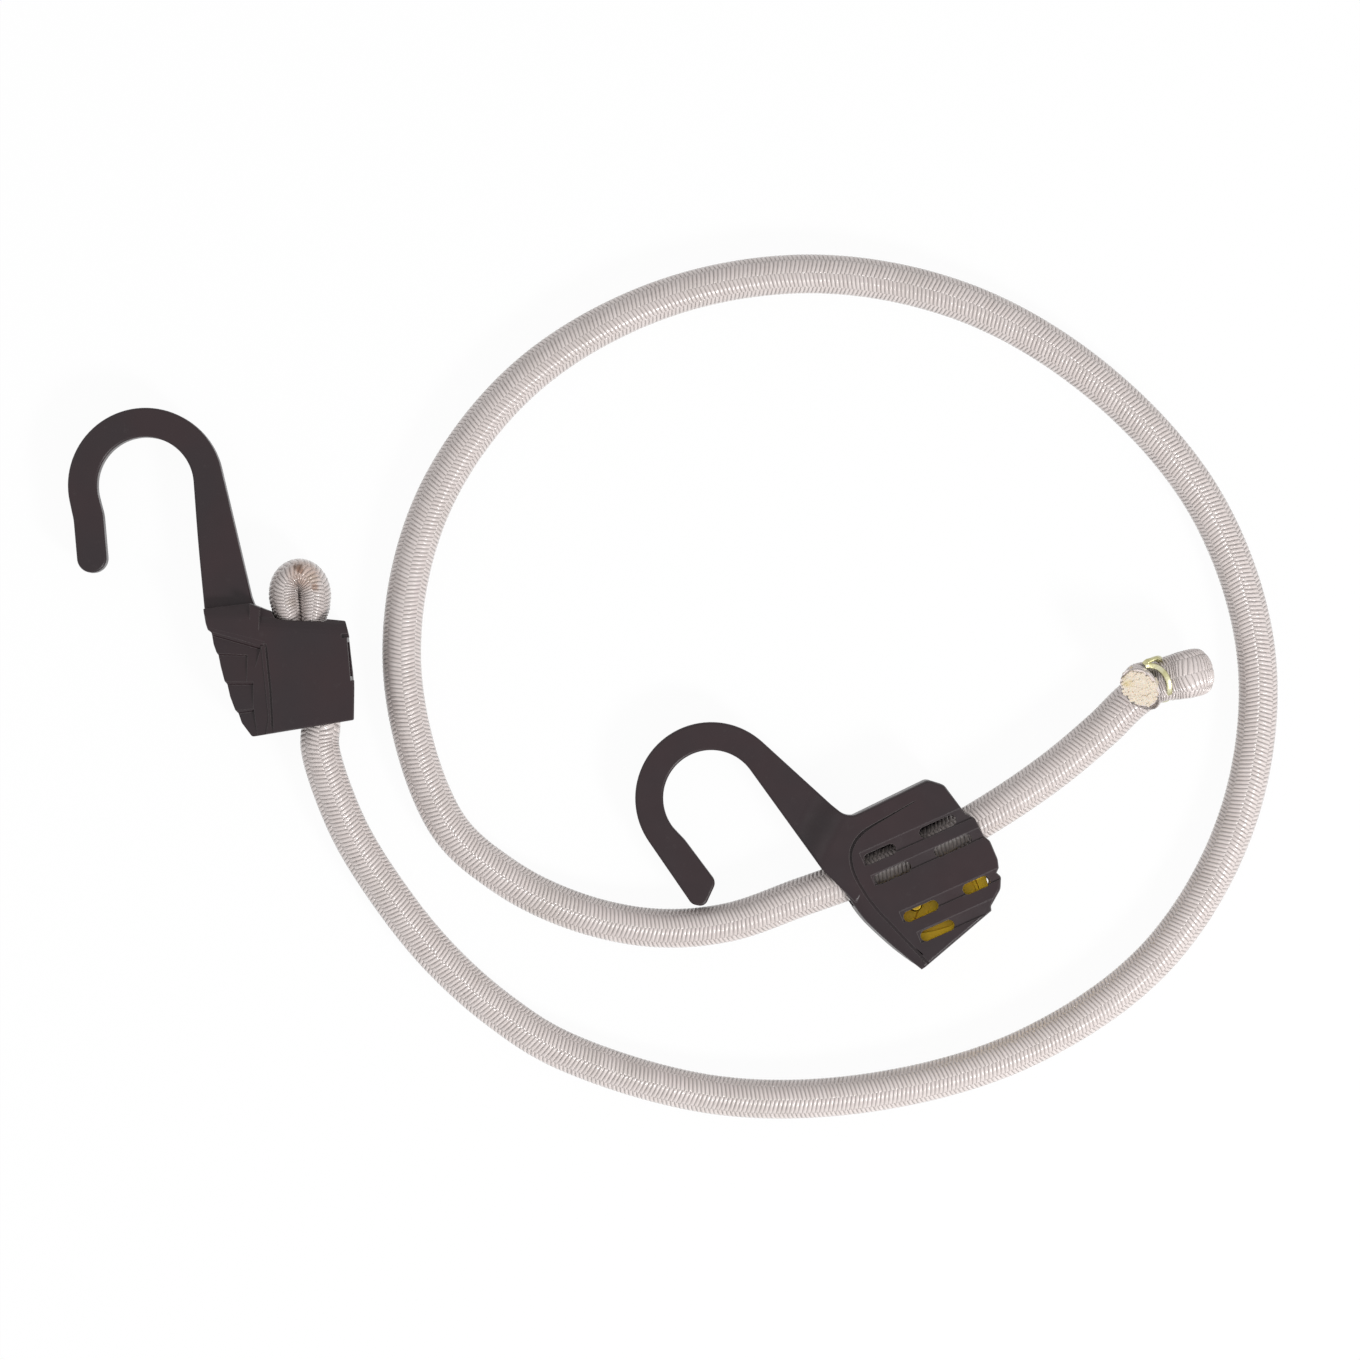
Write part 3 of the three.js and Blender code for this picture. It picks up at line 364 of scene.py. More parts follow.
def braid_pattern_group():
    """Yarn height, gaps between yarns and each yarn's own tone, from the braid's coordinates."""
    tree, given, out = new_group("braid_pattern", "ShaderNodeTree", [
        ("Place", "Vector", None), ("Columns", "Float", BRAID_COLUMNS),
        ("Yarn Pitch", "Float", YARN_PITCH * MM), ("Lean", "Float", YARN_LEAN),
        ("Filaments", "Float", 5.0),
    ], [("Height", "Float"), ("Gap", "Float"), ("Tone", "Float")])
    cosine, sine, along = add_node(tree, "ShaderNodeSeparateXYZ", (given["Place"],)).outputs
    turn = reckon(tree, "DIVIDE", reckon(tree, "ARCTAN2", sine, cosine), 2 * math.pi)
    column, across, yarn, inside = braid_fields(
        tree, reckon(tree, "FRACT", turn), along, given["Columns"], given["Yarn Pitch"], given["Lean"])
    border = reckon(tree, "MULTIPLY_ADD", hump(tree, across, 8.0), 0.35, 0.65)
    crest = reckon(tree, "MULTIPLY", hump(tree, inside, 2.2), border)
    strands = reckon(tree, "MULTIPLY", reckon(tree, "MULTIPLY", inside, given["Filaments"]), 2 * math.pi)
    gap = add_node(tree, "ShaderNodeMapRange", (crest, 0.0, 0.42, 1.0, 0.0),
                   interpolation_type="SMOOTHSTEP")
    where = add_node(tree, "ShaderNodeCombineXYZ", (column, yarn))
    chance = add_node(tree, "ShaderNodeTexWhiteNoise", {"Vector": where.outputs[0]},
                      noise_dimensions="2D")
    joined(tree, out, {
        "Height": reckon(tree, "MULTIPLY_ADD", reckon(tree, "SINE", strands), 0.06, crest),
        "Gap": gap.outputs[0], "Tone": chance.outputs["Value"]})
    return tree


def noise(tree, vector, scale, detail=3.0, roughness=0.5):
    return add_node(tree, "ShaderNodeTexNoise", {
        "Vector": vector, "Scale": scale, "Detail": detail, "Roughness": roughness}).outputs["Fac"]


def blended(tree, factor, first, second):
    return add_node(tree, "ShaderNodeMix", {"Factor": factor, "A": first, "B": second},
                    data_type="RGBA").outputs["Result"]


def ranged(tree, value, low, high, to_low=0.0, to_high=1.0):
    return add_node(tree, "ShaderNodeMapRange", (value, low, high, to_low, to_high)).outputs[0]


def bumped(tree, height, distance, strength, under=None):
    return add_node(tree, "ShaderNodeBump", {
        "Height": height, "Distance": distance, "Strength": strength, "Normal": under,
    }).outputs["Normal"]


def new_finish(name):
    """A material with its tree, its shader and the Object coordinates."""
    material = bpy.data.materials.new(name)
    material.use_nodes = True
    tree = material.node_tree
    place = tree.nodes.new("ShaderNodeTexCoord").outputs["Object"]
    return material, tree, tree.nodes["Principled BSDF"], place


braid_pattern = braid_pattern_group()
braided_tube = braided_tube_tree()

polyester_braid, tree, shader, place = new_finish("polyester_braid")
carried = add_node(tree, "ShaderNodeAttribute", attribute_name="braid_place")
pattern = add_node(tree, "ShaderNodeGroup", {"Place": carried.outputs["Vector"]},
                   node_tree=braid_pattern).outputs
yarn_colour = blended(tree, ranged(tree, pattern["Tone"], 0.0, 1.0, 0.0, 0.35),
                      (0.65, 0.575, 0.55, 1), (0.77, 0.70, 0.68, 1))
yarn_colour = blended(tree, ranged(tree, noise(tree, place, 60.0), 0.55, 0.75, 0.0, 0.35),
                      yarn_colour, (0.46, 0.41, 0.37, 1))
# Painted shade: the gaps between yarns are darkened towards a deep brown.
yarn_colour = blended(tree, reckon(tree, "MULTIPLY", pattern["Gap"], 0.7),
                      yarn_colour, (0.17, 0.145, 0.13, 1))
joined(tree, shader, {
    "Base Color": yarn_colour, "Roughness": ranged(tree, pattern["Gap"], 0.0, 1.0, 0.2, 0.8),
    "Specular IOR Level": 1.0, "Coat Weight": 0.35, "Coat Roughness": 0.22,
    "Normal": bumped(tree, pattern["Height"], 0.0003, 1.0),
})

cord_line = strand_line([(*point, CORD_RADIUS, CORD_RADIUS) for point in cord_route], UP, ROUTE_STEPS)
braided_cord = braided_strand("braided_cord", cord_line, CORD_SIDES, RING_SPACING)
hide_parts("cord_sheath", "cord_core")
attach(braided_cord, CORD_BODY)


# Looped end. The cord is doubled inside the fixed hook's pocket, and its bight stands out of the
# pocket's top like a ball. Both strands are pressed flat against each other, so that a dark crease
# runs between them, and the outside of the bight is soiled where it has been knotted before.
LOOP_WIDE, LOOP_HIGH, LOOP_REACH = 4.15, 6.3, 45.0
LOOP_MIDDLE, LOOP_SPREAD, LOOP_DENSITY, LOOP_STRETCH = -2.4, 3.7, 1.3, 1.33
STRAND_STEPS, STRAND_SIDES, STRAND_SPACING = 12, 48, 0.2


def turned_to(place, line):
    """Strand stations moved from a piece's own frame into the object's."""
    spin = place.to_3x3()
    return [(place @ centre, spin @ side, spin @ up, *sizes) for centre, side, up, *sizes in line]


def loop_station(hand, across, along, wide, high):
    return (LOOP_MIDDLE + hand * across * LOOP_SPREAD, along * LOOP_REACH, HOOK_LEVEL,
            LOOP_WIDE * wide, LOOP_HIGH * high)


loop_entry = [(0.9, 0.25, 1.06, 0.95), (0.93, 0.36, 0.95, 0.9)]
loop_side = [(0.8, 0.47, 0.8, 0.78), (0.9, 0.58, 0.9, 0.95), (0.78, 0.65, 0.8, 0.98),
             (0.93, 0.73, 0.95, 1.0)]
loop_end = [(1.0, 0.31, 1.0, 0.95)]
loop_centre = LOOP_REACH - LOOP_WIDE - LOOP_SPREAD * LOOP_STRETCH
loop_stations = [(0, y, HOOK_LEVEL, CORD_RADIUS, CORD_RADIUS) for y in (4.2, 6.7)]
loop_stations += [loop_station(1, *share) for share in loop_entry + loop_side]
for degrees in range(0, 181, 30):
    turn = math.radians(degrees)
    loop_stations.append((LOOP_MIDDLE + math.cos(turn) * LOOP_SPREAD,
                          loop_centre + math.sin(turn) * LOOP_SPREAD * LOOP_STRETCH,
                          HOOK_LEVEL, LOOP_WIDE, LOOP_HIGH))
loop_stations += [loop_station(-1, *share) for share in loop_side[::-1] + loop_end]
loop_line = turned_to(FIXED_PLACE, strand_line(loop_stations, UP, STRAND_STEPS))
looped_strand = braided_strand("looped_strand", loop_line, STRAND_SIDES, STRAND_SPACING, LOOP_DENSITY)
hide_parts("loop_sheath", "loop_core")
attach(looped_strand, CORD_BODY)


def stain_and_shade_spot_group():
    """A ragged round spot about a point: one inside it and zero outside."""
    tree, given, out = new_group("stain_and_shade_spot", "ShaderNodeTree", [
        ("Place", "Vector", None), ("Centre", "Vector", None), ("Radius", "Float", 0.001),
        ("Ragged", "Float", 0.0012), ("Scale", "Float", 900.0),
    ], [("Mask", "Float")])
    away = add_node(tree, "ShaderNodeVectorMath", (given["Place"], given["Centre"]),
                    operation="DISTANCE").outputs["Value"]
    uneven = reckon(tree, "SUBTRACT", noise(tree, given["Place"], given["Scale"]), 0.5)
    reach = reckon(tree, "MULTIPLY_ADD", uneven, given["Ragged"], away)
    inner = reckon(tree, "MULTIPLY", given["Radius"], 0.5)
    joined(tree, out, {"Mask": ranged(tree, reach, inner, given["Radius"], 1.0, 0.0)})
    return tree


stain_and_shade_spot = stain_and_shade_spot_group()


def add_stain_and_shade_spots(material, spots):
    """Tints a material at places in millimetres, each with its radius, colour and strength."""
    tree = material.node_tree
    shader = tree.nodes["Principled BSDF"]
    tint = shader.inputs["Base Color"].links[0].from_socket
    place = tree.nodes.new("ShaderNodeTexCoord").outputs["Object"]
    for centre, radius, colour, strength in spots:
        spot = add_node(tree, "ShaderNodeGroup", {
            "Place": place, "Centre": Vector(centre) * MM, "Radius": radius * MM}, node_tree=stain_and_shade_spot)
        mask = reckon(tree, "MULTIPLY", spot.outputs["Mask"], strength)
        tint = blended(tree, mask, tint, (*colour, 1))
    joined(tree, shader, {"Base Color": tint})


def dressed(piece, material):
    piece.data.materials.clear()
    piece.data.materials.append(material)


def braid_with_stains_and_shade(piece, name, spots):
    """Gives a braided piece its own copy of the braid's material, with tinted spots: real stains, and
    painted shade where a spot stands in for shadow.
    """
    material = polyester_braid.copy()
    material.name = name
    add_stain_and_shade_spots(material, spots)
    dressed(piece, material)


braid_with_stains_and_shade(looped_strand, "soiled_and_shaded_loop_braid", [
    ((-57.0, 28.9, 14.0), 5.2, (0.50, 0.33, 0.25), 0.6),
    ((-58.6, 30.5, 13.5), 1.6, (0.17, 0.08, 0.04), 0.95),
    ((-58.0, 29.2, 14.1), 1.0, (0.25, 0.13, 0.08), 0.8),
    ((-54.4, 25.2, 14.1), 1.3, (0.30, 0.17, 0.11), 0.75),
    ((-55.0, 27.5, 14.0), 1.8, (0.38, 0.29, 0.22), 0.5),
    # Painted shade low on the left, where the bight meets the pocket's lip.
    ((-60.5, 21.5, 13.0), 2.0, (0.34, 0.27, 0.22), 0.4),
])


# Folded tail. The cord's free end is doubled back on top of itself and crimped, and its cut end
# stands up behind the ring. The braid is pushed together here, so its yarns lie closer.
FOLD_WIDE, FOLD_HIGH, FOLD_REACH = 6.0, 3.9, 13.5
FOLD_LOW, FOLD_RISE, RING_WIDE, FOLD_DENSITY = 6.6, 8.7, 1.9, 1.45
CUT_REACH, CUT_RISE, CUT_SIDESTEP = 6.1, 3.9, 0.3
CUT_RINGS, CUT_ASIDE = 26, math.radians(38)
fold_top = FOLD_LOW + FOLD_RISE


def fold_station(x, y, z, wide, high):
    return x, y, z, FOLD_HIGH * high, FOLD_WIDE * wide


fold_bend = [
    (0.2, 0, 0.95, 0.96), (0.48, -0.035, 1, 0.96), (0.64, 0.12, 1, 0.9), (0.745, 0.5, 0.95, 0.87),
    (0.64, 0.88, 1, 0.9), (0.48, 1.035, 1, 0.96), (0.25, 1, 0.95, 0.94),
]
cut_end = [(0.6, 0.12, 1.02, 0.98), (0.86, 0.48, 1.06, 1.1), (1, 1, 1.09, 1.2)]
fold_stations = [fold_station(0.15, 0, FOLD_LOW, 0.86, 1)]
fold_stations += [
    fold_station(along * FOLD_REACH, 0, FOLD_LOW + up * FOLD_RISE, wide, high)
    for along, up, wide, high in fold_bend
]
fold_stations += [fold_station(x, 0, fold_top, 0.86, 0.84) for x in (RING_WIDE / 2, -RING_WIDE)]
fold_stations += [
    fold_station(-along * CUT_REACH, -along * CUT_SIDESTEP, fold_top + up * CUT_RISE, wide, high)
    for along, up, wide, high in cut_end
]
fold_line = strand_line(fold_stations, Vector((0, 1, 0)), STRAND_STEPS)
for k in range(CUT_RINGS):
    centre, side, up, wide, high = fold_line[k - CUT_RINGS]
    aside = Matrix.Rotation(CUT_ASIDE * ((k + 1) / CUT_RINGS) ** 1.5, 3, side)
    fold_line[k - CUT_RINGS] = (centre, side, aside @ up, wide, high)
fold_line = turned_to(TAIL_PLACE, fold_line)
folded_strand = braided_strand("folded_strand", fold_line, STRAND_SIDES, STRAND_SPACING, FOLD_DENSITY)
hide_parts("fold_sheath")
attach(folded_strand, CORD_BODY)
# Four dark spots of painted shade: in the wedge between the cut end and the ring, and under the cut end's
# lower edge, where it overhangs the cord below.
braid_with_stains_and_shade(folded_strand, "tail_braid_painted_shade", [
    ((154.0, 3.6, 19.0), 2.3, (0.10, 0.085, 0.06), 0.85),
    ((151.1, 5.4, 19.0), 1.2, (0.16, 0.13, 0.09), 0.8),
    ((148.6, -2.7, 16.8), 2.0, (0.09, 0.075, 0.05), 0.85),
    ((150.2, -4.0, 16.8), 1.9, (0.09, 0.075, 0.05), 0.8),
])


# Cut end of the rubber core. A bundle of square-cut latex strands, packed tight in the braid, each
# a little longer or shorter than the next. Geometry nodes set one strand end at each place.
SHEATH_WALL, BUNDLE_GAP, BUNDLE_COLUMNS = 0.35, 0.2, 12
STRAND_ACROSS, STRAND_PROUD, STRAND_LENGTH = 0.95, 0.45, 2.0
cut_centre, cut_side, cut_up, cut_wide, cut_high = fold_line[-1]
cut_heading = cut_side.cross(cut_up).normalized()
cut_wide, cut_high = cut_wide - SHEATH_WALL, cut_high - SHEATH_WALL


def strand_bundle_tree():
    """Geometry nodes that set a short strand on every point, with its own length and turn."""
    tree, given, out = new_group("strand_bundle", "GeometryNodeTree", [
        ("Places", "Geometry", None), ("Strand Radius", "Float", 0.0005),
        ("Strand Length", "Float", 0.002), ("Unevenness", "Float", 0.0003),
        ("Heading", "Vector", None), ("Seed", "Int", 7), ("Rubber", "Material", None),
    ], [("Bundle", "Geometry")])

    def chance(low, high, offset):
        node = add_node(tree, "FunctionNodeRandomValue", data_type="FLOAT")
        limits = [socket for socket in node.inputs if socket.name in ("Min", "Max") and socket.enabled]
        limits[0].default_value = low
        limits[1].default_value = high
        joined(tree, node, {"Seed": reckon(tree, "ADD", given["Seed"], float(offset))})
        return [socket for socket in node.outputs if socket.enabled][0]

    strand = add_node(tree, "GeometryNodeMeshCylinder", {
        "Vertices": 9, "Radius": given["Strand Radius"], "Depth": given["Strand Length"]})
    aligned = add_node(tree, "FunctionNodeAlignRotationToVector", {"Vector": given["Heading"]}, axis="Z")
    tilt = add_node(tree, "ShaderNodeCombineXYZ", (None, None, chance(0.0, 0.7, 0)))
    as_turn = add_node(tree, "FunctionNodeEulerToRotation", (tilt.outputs[0],))
    spun = add_node(tree, "FunctionNodeRotateRotation", (aligned.outputs[0], as_turn.outputs[0]),
                    rotation_space="LOCAL")
    drift = reckon(tree, "MULTIPLY", chance(-1.0, 1.0, 1), given["Unevenness"])
    moved = add_node(tree, "GeometryNodeSetPosition", {
        "Geometry": given["Places"], "Offset": scaled(tree, given["Heading"], drift)})
    points = add_node(tree, "GeometryNodeMeshToPoints", {"Mesh": moved.outputs[0]})
    many = add_node(tree, "GeometryNodeInstanceOnPoints", {
        "Points": points.outputs[0], "Instance": strand.outputs["Mesh"],
        "Rotation": spun.outputs[0], "Scale": chance(0.88, 1.06, 2)})
    painted(tree, many.outputs[0], given["Rubber"], out)
    return tree


natural_rubber, tree, shader, place = new_finish("natural_rubber")
rubber_colour = blended(tree, ranged(tree, noise(tree, place, 900.0, 4.0), 0.35, 0.65),
                        (0.64, 0.555, 0.45, 1), (0.71, 0.63, 0.52, 1))
rubber_colour = blended(tree, ranged(tree, noise(tree, place, 1700.0, 2.0), 0.64, 0.71),
                        rubber_colour, (0.40, 0.24, 0.13, 1))
joined(tree, shader, {
    "Base Color": rubber_colour, "Roughness": 0.62, "Subsurface Weight": 0.15,
    "Subsurface Radius": (0.0008, 0.0005, 0.0003),
    "Normal": bumped(tree, noise(tree, place, 1500.0), 0.0001, 0.6),
})
add_stain_and_shade_spots(natural_rubber, [
    ((147.7, 1.9, 19.5), 2.0, (0.58, 0.46, 0.18), 0.55),
    ((146.1, 3.2, 20.5), 1.9, (0.42, 0.35, 0.22), 0.6),
])

strand_places = []
row_step = STRAND_ACROSS * math.sqrt(3) / 2
rows = math.ceil(2 * cut_high / row_step)
for row in range(-rows, rows + 1):
    for column in range(-BUNDLE_COLUMNS, BUNDLE_COLUMNS + 1):
        a = (column + (row % 2) / 2) * STRAND_ACROSS
        b = row * row_step
        if (a / (cut_high - BUNDLE_GAP)) ** 2 + (b / (cut_wide - BUNDLE_GAP)) ** 2 < 1:
            strand_places.append((cut_centre + cut_up * a + cut_side * b
                                  - cut_heading * (STRAND_LENGTH / 2 - STRAND_PROUD)) * MM)
cut_core = grown(new_piece("cut_core", strand_places, []), strand_bundle_tree(), {
    "Strand Radius": STRAND_ACROSS * 0.6 * MM, "Strand Length": STRAND_LENGTH * MM,
    "Unevenness": 0.06 * MM, "Heading": tuple(cut_heading), "Rubber": natural_rubber})
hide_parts("fold_core")
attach(cut_core, CORD_BODY)


# Crimped rings. Flat wire with a yellow zinc finish is bent round the doubled cord and squeezed
# with pliers. At the tail one end stands off as a small tongue. The other ring is in the pocket.
RING_THICK, RING_BAND, RING_CORNER, RING_CREASE = 0.9, 1.45, 0.35, 50.0


def skin(rings, count):
    """Faces of a solid made of rings of points: the sides between them and the two ends."""
    sides = [(i, (i + 1) % count) for i in range(count)]
    faces = [
        (k * count + i, k * count + j, (k + 1) * count + j, (k + 1) * count + i)
        for k in range(rings - 1) for i, j in sides
    ]
    last = (rings - 1) * count
    return faces + [tuple(reversed(range(count))), tuple(range(last, last + count))]


def outward(piece):
    work = bmesh.new()
    work.from_mesh(piece.data)
    bmesh.ops.recalc_face_normals(work, faces=work.faces)
    work.to_mesh(piece.data)
    work.free()
    return piece


def soft_section(wide, thick, corner, steps=3):
    """A rectangle with rounded corners, counter-clockwise."""
    section = []
    for start, x, y in ((0, 1, 1), (90, -1, 1), (180, -1, -1), (270, 1, -1)):
        for k in range(steps + 1):
            turn = math.radians(start + 90 * k / steps)
            section.append((x * (wide / 2 - corner) + corner * math.cos(turn),
                            y * (thick / 2 - corner) + corner * math.sin(turn)))
    return section


def finished(piece, place, material, body, sharp):
    """Moves a piece from millimetres in its own frame to the object's, and gives it its finish."""
    piece.data.transform(Matrix.Scale(MM, 4) @ place)
    dressed(piece, material)
    piece.data.shade_smooth()
    piece.data.set_sharp_from_angle(angle=math.radians(sharp))
    piece.modifiers.new("even_normals", "WEIGHTED_NORMAL").keep_sharp = True
    settled(piece)
    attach(piece, body)


def worn_surface_group():
    """Slow clouds, scuffs, changes of gloss and a fine grain, as handled parts have."""
    tree, given, out = new_group("worn_surface", "ShaderNodeTree", [
        ("Place", "Vector", None), ("Cloud Scale", "Float", 55.0), ("Scuff Scale", "Float", 420.0),
        ("Gloss Scale", "Float", 240.0), ("Grain Scale", "Float", 3200.0),
    ], [(name, "Float") for name in ("Clouds", "Scuffs", "Gloss", "Grain")])
    clouds = noise(tree, given["Place"], given["Cloud Scale"], 2.0)
    scuffs = noise(tree, given["Place"], given["Scuff Scale"], 6.0, 0.7)
    gloss = noise(tree, given["Place"], given["Gloss Scale"], 5.0)
    joined(tree, out, {
        "Clouds": ranged(tree, clouds, 0.35, 0.65), "Scuffs": ranged(tree, scuffs, 0.60, 0.78, 0.0, 0.5),
        "Gloss": ranged(tree, gloss, 0.3, 0.7),
        "Grain": noise(tree, given["Place"], given["Grain Scale"], 2.0)})
    return tree


def soft_edge_group():
    """Normals that round off the sharp edges, and a mask of where those edges are, for a painted
    highlight.
    """
    tree, given, out = new_group("soft_edge", "ShaderNodeTree", [("Radius", "Float", 0.0002)],
                                 [("Normal", "Vector"), ("Edge", "Float")])
    soft = add_node(tree, "ShaderNodeBevel", {"Radius": given["Radius"]}, samples=4).outputs[0]
    plain = tree.nodes.new("ShaderNodeNewGeometry").outputs["Normal"]
    turned = add_node(tree, "ShaderNodeVectorMath", (soft, plain), operation="DOT_PRODUCT")
    joined(tree, out, {
        "Normal": soft, "Edge": ranged(tree, turned.outputs["Value"], 0.985, 0.88)})
    return tree


worn_surface = worn_surface_group()
soft_edges = soft_edge_group()


def worn_and_highlit_finish(name, first, second, scuff_and_highlight, roughness, grain, metallic=0.0, scales=(),
                soft_edge=0.0, edge_highlight=None, specular=0.5):
    """A finish with the worn surface: two clouded tones, scuffs, gloss and grain; with soft_edge, also a
    painted highlight on every edge.
    """
    material, tree, shader, place = new_finish(name)
    surface = add_node(tree, "ShaderNodeGroup", {"Place": place, **dict(scales)},
                       node_tree=worn_surface).outputs
    colour = blended(tree, surface["Clouds"], (*first, 1), (*second, 1))
    colour = blended(tree, surface["Scuffs"], colour, (*scuff_and_highlight, 1))
    under = None
    if soft_edge:
        edges = add_node(tree, "ShaderNodeGroup", {"Radius": soft_edge * MM},
                         node_tree=soft_edges).outputs
        under = edges["Normal"]
        # Painted highlight: edges, hollow or standing, take a lighter colour, by default the scuff
        # colour.
        colour = blended(tree, edges["Edge"], colour, (*(edge_highlight or scuff_and_highlight), 1))
    joined(tree, shader, {
        "Base Color": colour, "Metallic": metallic, "Specular IOR Level": specular,
        "Roughness": ranged(tree, surface["Gloss"], 0.0, 1.0, *roughness),
        "Normal": bumped(tree, surface["Grain"], 0.00004, grain, under)})
    return material


yellow_zinc = worn_and_highlit_finish(
    "yellow_zinc", (0.50, 0.475, 0.26), (0.64, 0.62, 0.43), (0.45, 0.42, 0.29), (0.28, 0.48), 0.4,
    metallic=1.0, scales=(("Cloud Scale", 350.0), ("Gloss Scale", 1400.0), ("Grain Scale", 2600.0)))

ring_route = [
    (-3.7, 5.0, 19.3), (-2.9, 5.5, 19.2), (-1.8, 5.75, 18.9), (-0.5, 5.75, 18.4), (0.4, 5.2, 17.4),
    (0.6, 5.5, 15.8), (0.5, 5.8, 12.0), (0.3, 5.8, 6.0), (0.0, 5.4, 2.4), (0.0, 3.6, 1.0),
    (0.0, -3.6, 1.0), (0.0, -4.9, 2.4), (0.3, -5.1, 6.0), (0.5, -4.6, 12.0), (0.7, -4.3, 15.0),
    (0.9, -3.6, 16.9), (1.0, -2.3, 18.35), (1.2, -0.4, 19.2), (0.7, 1.7, 19.4), (-0.6, 3.5, 19.2),
    (-2.1, 4.4, 19.3), (-3.4, 4.7, 19.4),
]
ring_points = smooth_line([Vector(point) for point in ring_route], 8)
ring_section = soft_section(RING_BAND, RING_THICK, RING_CORNER)
ring_vertices = []
for point, heading in zip(ring_points, headings(ring_points)):
    side = (Vector((1, 0, 0)) - heading * heading.x).normalized()
    up = side.cross(heading).normalized()
    ring_vertices += [point + side * a + up * b for a, b in ring_section]
tail_ring = outward(new_piece("tail_ring", ring_vertices, skin(len(ring_points), len(ring_section))))
finished(tail_ring, TAIL_PLACE, yellow_zinc, CORD_BODY, RING_CREASE)
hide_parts("fold_ring")
dressed(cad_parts["loop_ring"], yellow_zinc)


# Fixed hook. One moulding in black nylon, with a flat hook arm and a sleeve for the doubled cord.
# The grip is a sunk panel with three steps on each face, and its edge is notched in time with them.
ARC_STEP = math.radians(4)
BODY_THICK, ARM_LOW, ARM_HIGH, ARM_EDGE = 16.0, 4.75, 11.25, 0.7
PAST = 6.0
ABOVE = BODY_THICK + PAST
EDGE_STEPS, CREASE = 18, 6.0


def arc(x, y, radius, start, end):
    count = max(2, math.ceil(abs(end - start) / ARC_STEP))
    turns = [start + (end - start) * i / count for i in range(count + 1)]
    return [Vector((x + radius * math.cos(turn), y + radius * math.sin(turn))) for turn in turns]


def circle(x, y, radius):
    return arc(x, y, radius, 0, 2 * math.pi)[:-1]


def vectors(points):
    return [Vector(point) for point in points]


def rounded(corners):
    """The points of an outline whose corners are (x, y) or (x, y, fillet radius)."""
    points = []
    for i, corner in enumerate(corners):
        here = Vector(corner[:2])
        if len(corner) < 3:
            points.append(here)
            continue
        back = Vector(corners[i - 1][:2]) - here
        ahead = Vector(corners[(i + 1) % len(corners)][:2]) - here
        half = back.angle(ahead) / 2
        radius = min(corner[2], min(back.length, ahead.length) / 2 * math.tan(half))
        back.normalize()
        ahead.normalize()
        start, end = (here + way * radius / math.tan(half) for way in (back, ahead))
        centre = here + (back + ahead).normalized() * radius / math.sin(half)
        first = math.atan2(start.y - centre.y, start.x - centre.x)
        sweep = math.atan2(end.y - centre.y, end.x - centre.x) - first
        sweep = math.atan2(math.sin(sweep), math.cos(sweep))
        points += arc(centre.x, centre.y, radius, first, first + sweep)
    return points


def smooth_outline(points, steps):
    return [point.xy for point in smooth_line([Vector((x, y, 0)) for x, y in points], steps)]


def shifted(line, distance):
    """An open line moved sideways, to the left of its direction for a positive distance."""
    return [point + Vector((-way.y, way.x)) * distance for point, way in zip(line, headings(line))]


def plate(name, outline, low, high, edge=0.0, softness=None, steps=EDGE_STEPS):
    """A plate between two heights. Its edges are rounded by edge, times what softness says of a point."""
    points = [p for i, p in enumerate(outline) if (p - outline[i - 1]).length > 0.01]
    turns = sum(a.x * b.y - b.x * a.y for a, b in zip(points, points[1:] + points[:1]))
    if turns < 0:
        points.reverse()
    inward = []
    for i, point in enumerate(points):
        first = (point - points[i - 1]).normalized()
        second = (points[(i + 1) % len(points)] - point).normalized()
        normals = Vector((-first.y, first.x)), Vector((-second.y, second.x))
        inward.append((normals[0] + normals[1]) / max(1 + normals[0].dot(normals[1]), 0.25))
    levels = [(low, 0.0), (high, 0.0)]
    if edge:
        bend = [math.pi / 2 * k / steps for k in range(steps + 1)]
        lower = [(low + edge - edge * math.cos(t), edge - edge * math.sin(t)) for t in bend]
        levels = lower + [(low + high - z, inset) for z, inset in reversed(lower)]
    if softness:
        inward = [way * softness(point) for way, point in zip(inward, points)]
    vertices = [
        (point.x + way.x * inset, point.y + way.y * inset, z)
        for z, inset in levels for point, way in zip(points, inward)
    ]
    return new_piece(name, vertices, skin(len(levels), len(points)))


def bar(profile, start, end, longer=0.0):
    """A prism over the line between two points, with a profile of (distance, height) across it."""
    start, end = vectors((start, end))
    middle, way = (start + end) / 2, end - start
    direction = math.atan2(way.y, way.x) - math.pi / 2
    ahead = Vector((math.cos(direction), math.sin(direction), 0))
    across = Vector((-ahead.y, ahead.x, 0))
    vertices = [
        Vector((middle.x, middle.y, up)) + ahead * along + across * hand * (way.length + longer) / 2
        for hand in (-1, 1) for along, up in profile
    ]
    return outward(new_piece("bar", vertices, skin(2, len(profile))))


def block(x0, y0, z0, x1, y1, z1):
    return plate("block", vectors([(x0, y0), (x1, y0), (x1, y1), (x0, y1)]), z0, z1)


def post(x, y, radius, low, high):
    return plate("post", circle(x, y, radius), low, high)


def mirrored(piece):
    """A copy of a tool on the other face of the body."""
    mesh = piece.data.copy()
    mesh.transform(Matrix.Translation((0, 0, BODY_THICK)) @ Matrix.Scale(-1, 4, (0, 0, 1)))
    mesh.flip_normals()
    return placed(piece.name, mesh)


def worked(piece, operation, *tools):
    """Adds tools to a piece, or cuts them out of it, and removes them."""
    for tool in tools:
        step = piece.modifiers.new("step", "BOOLEAN")
        step.operation = operation
        step.solver = "MANIFOLD"
        step.object = tool
    settled(piece)
    for tool in tools:
        bpy.data.objects.remove(tool)


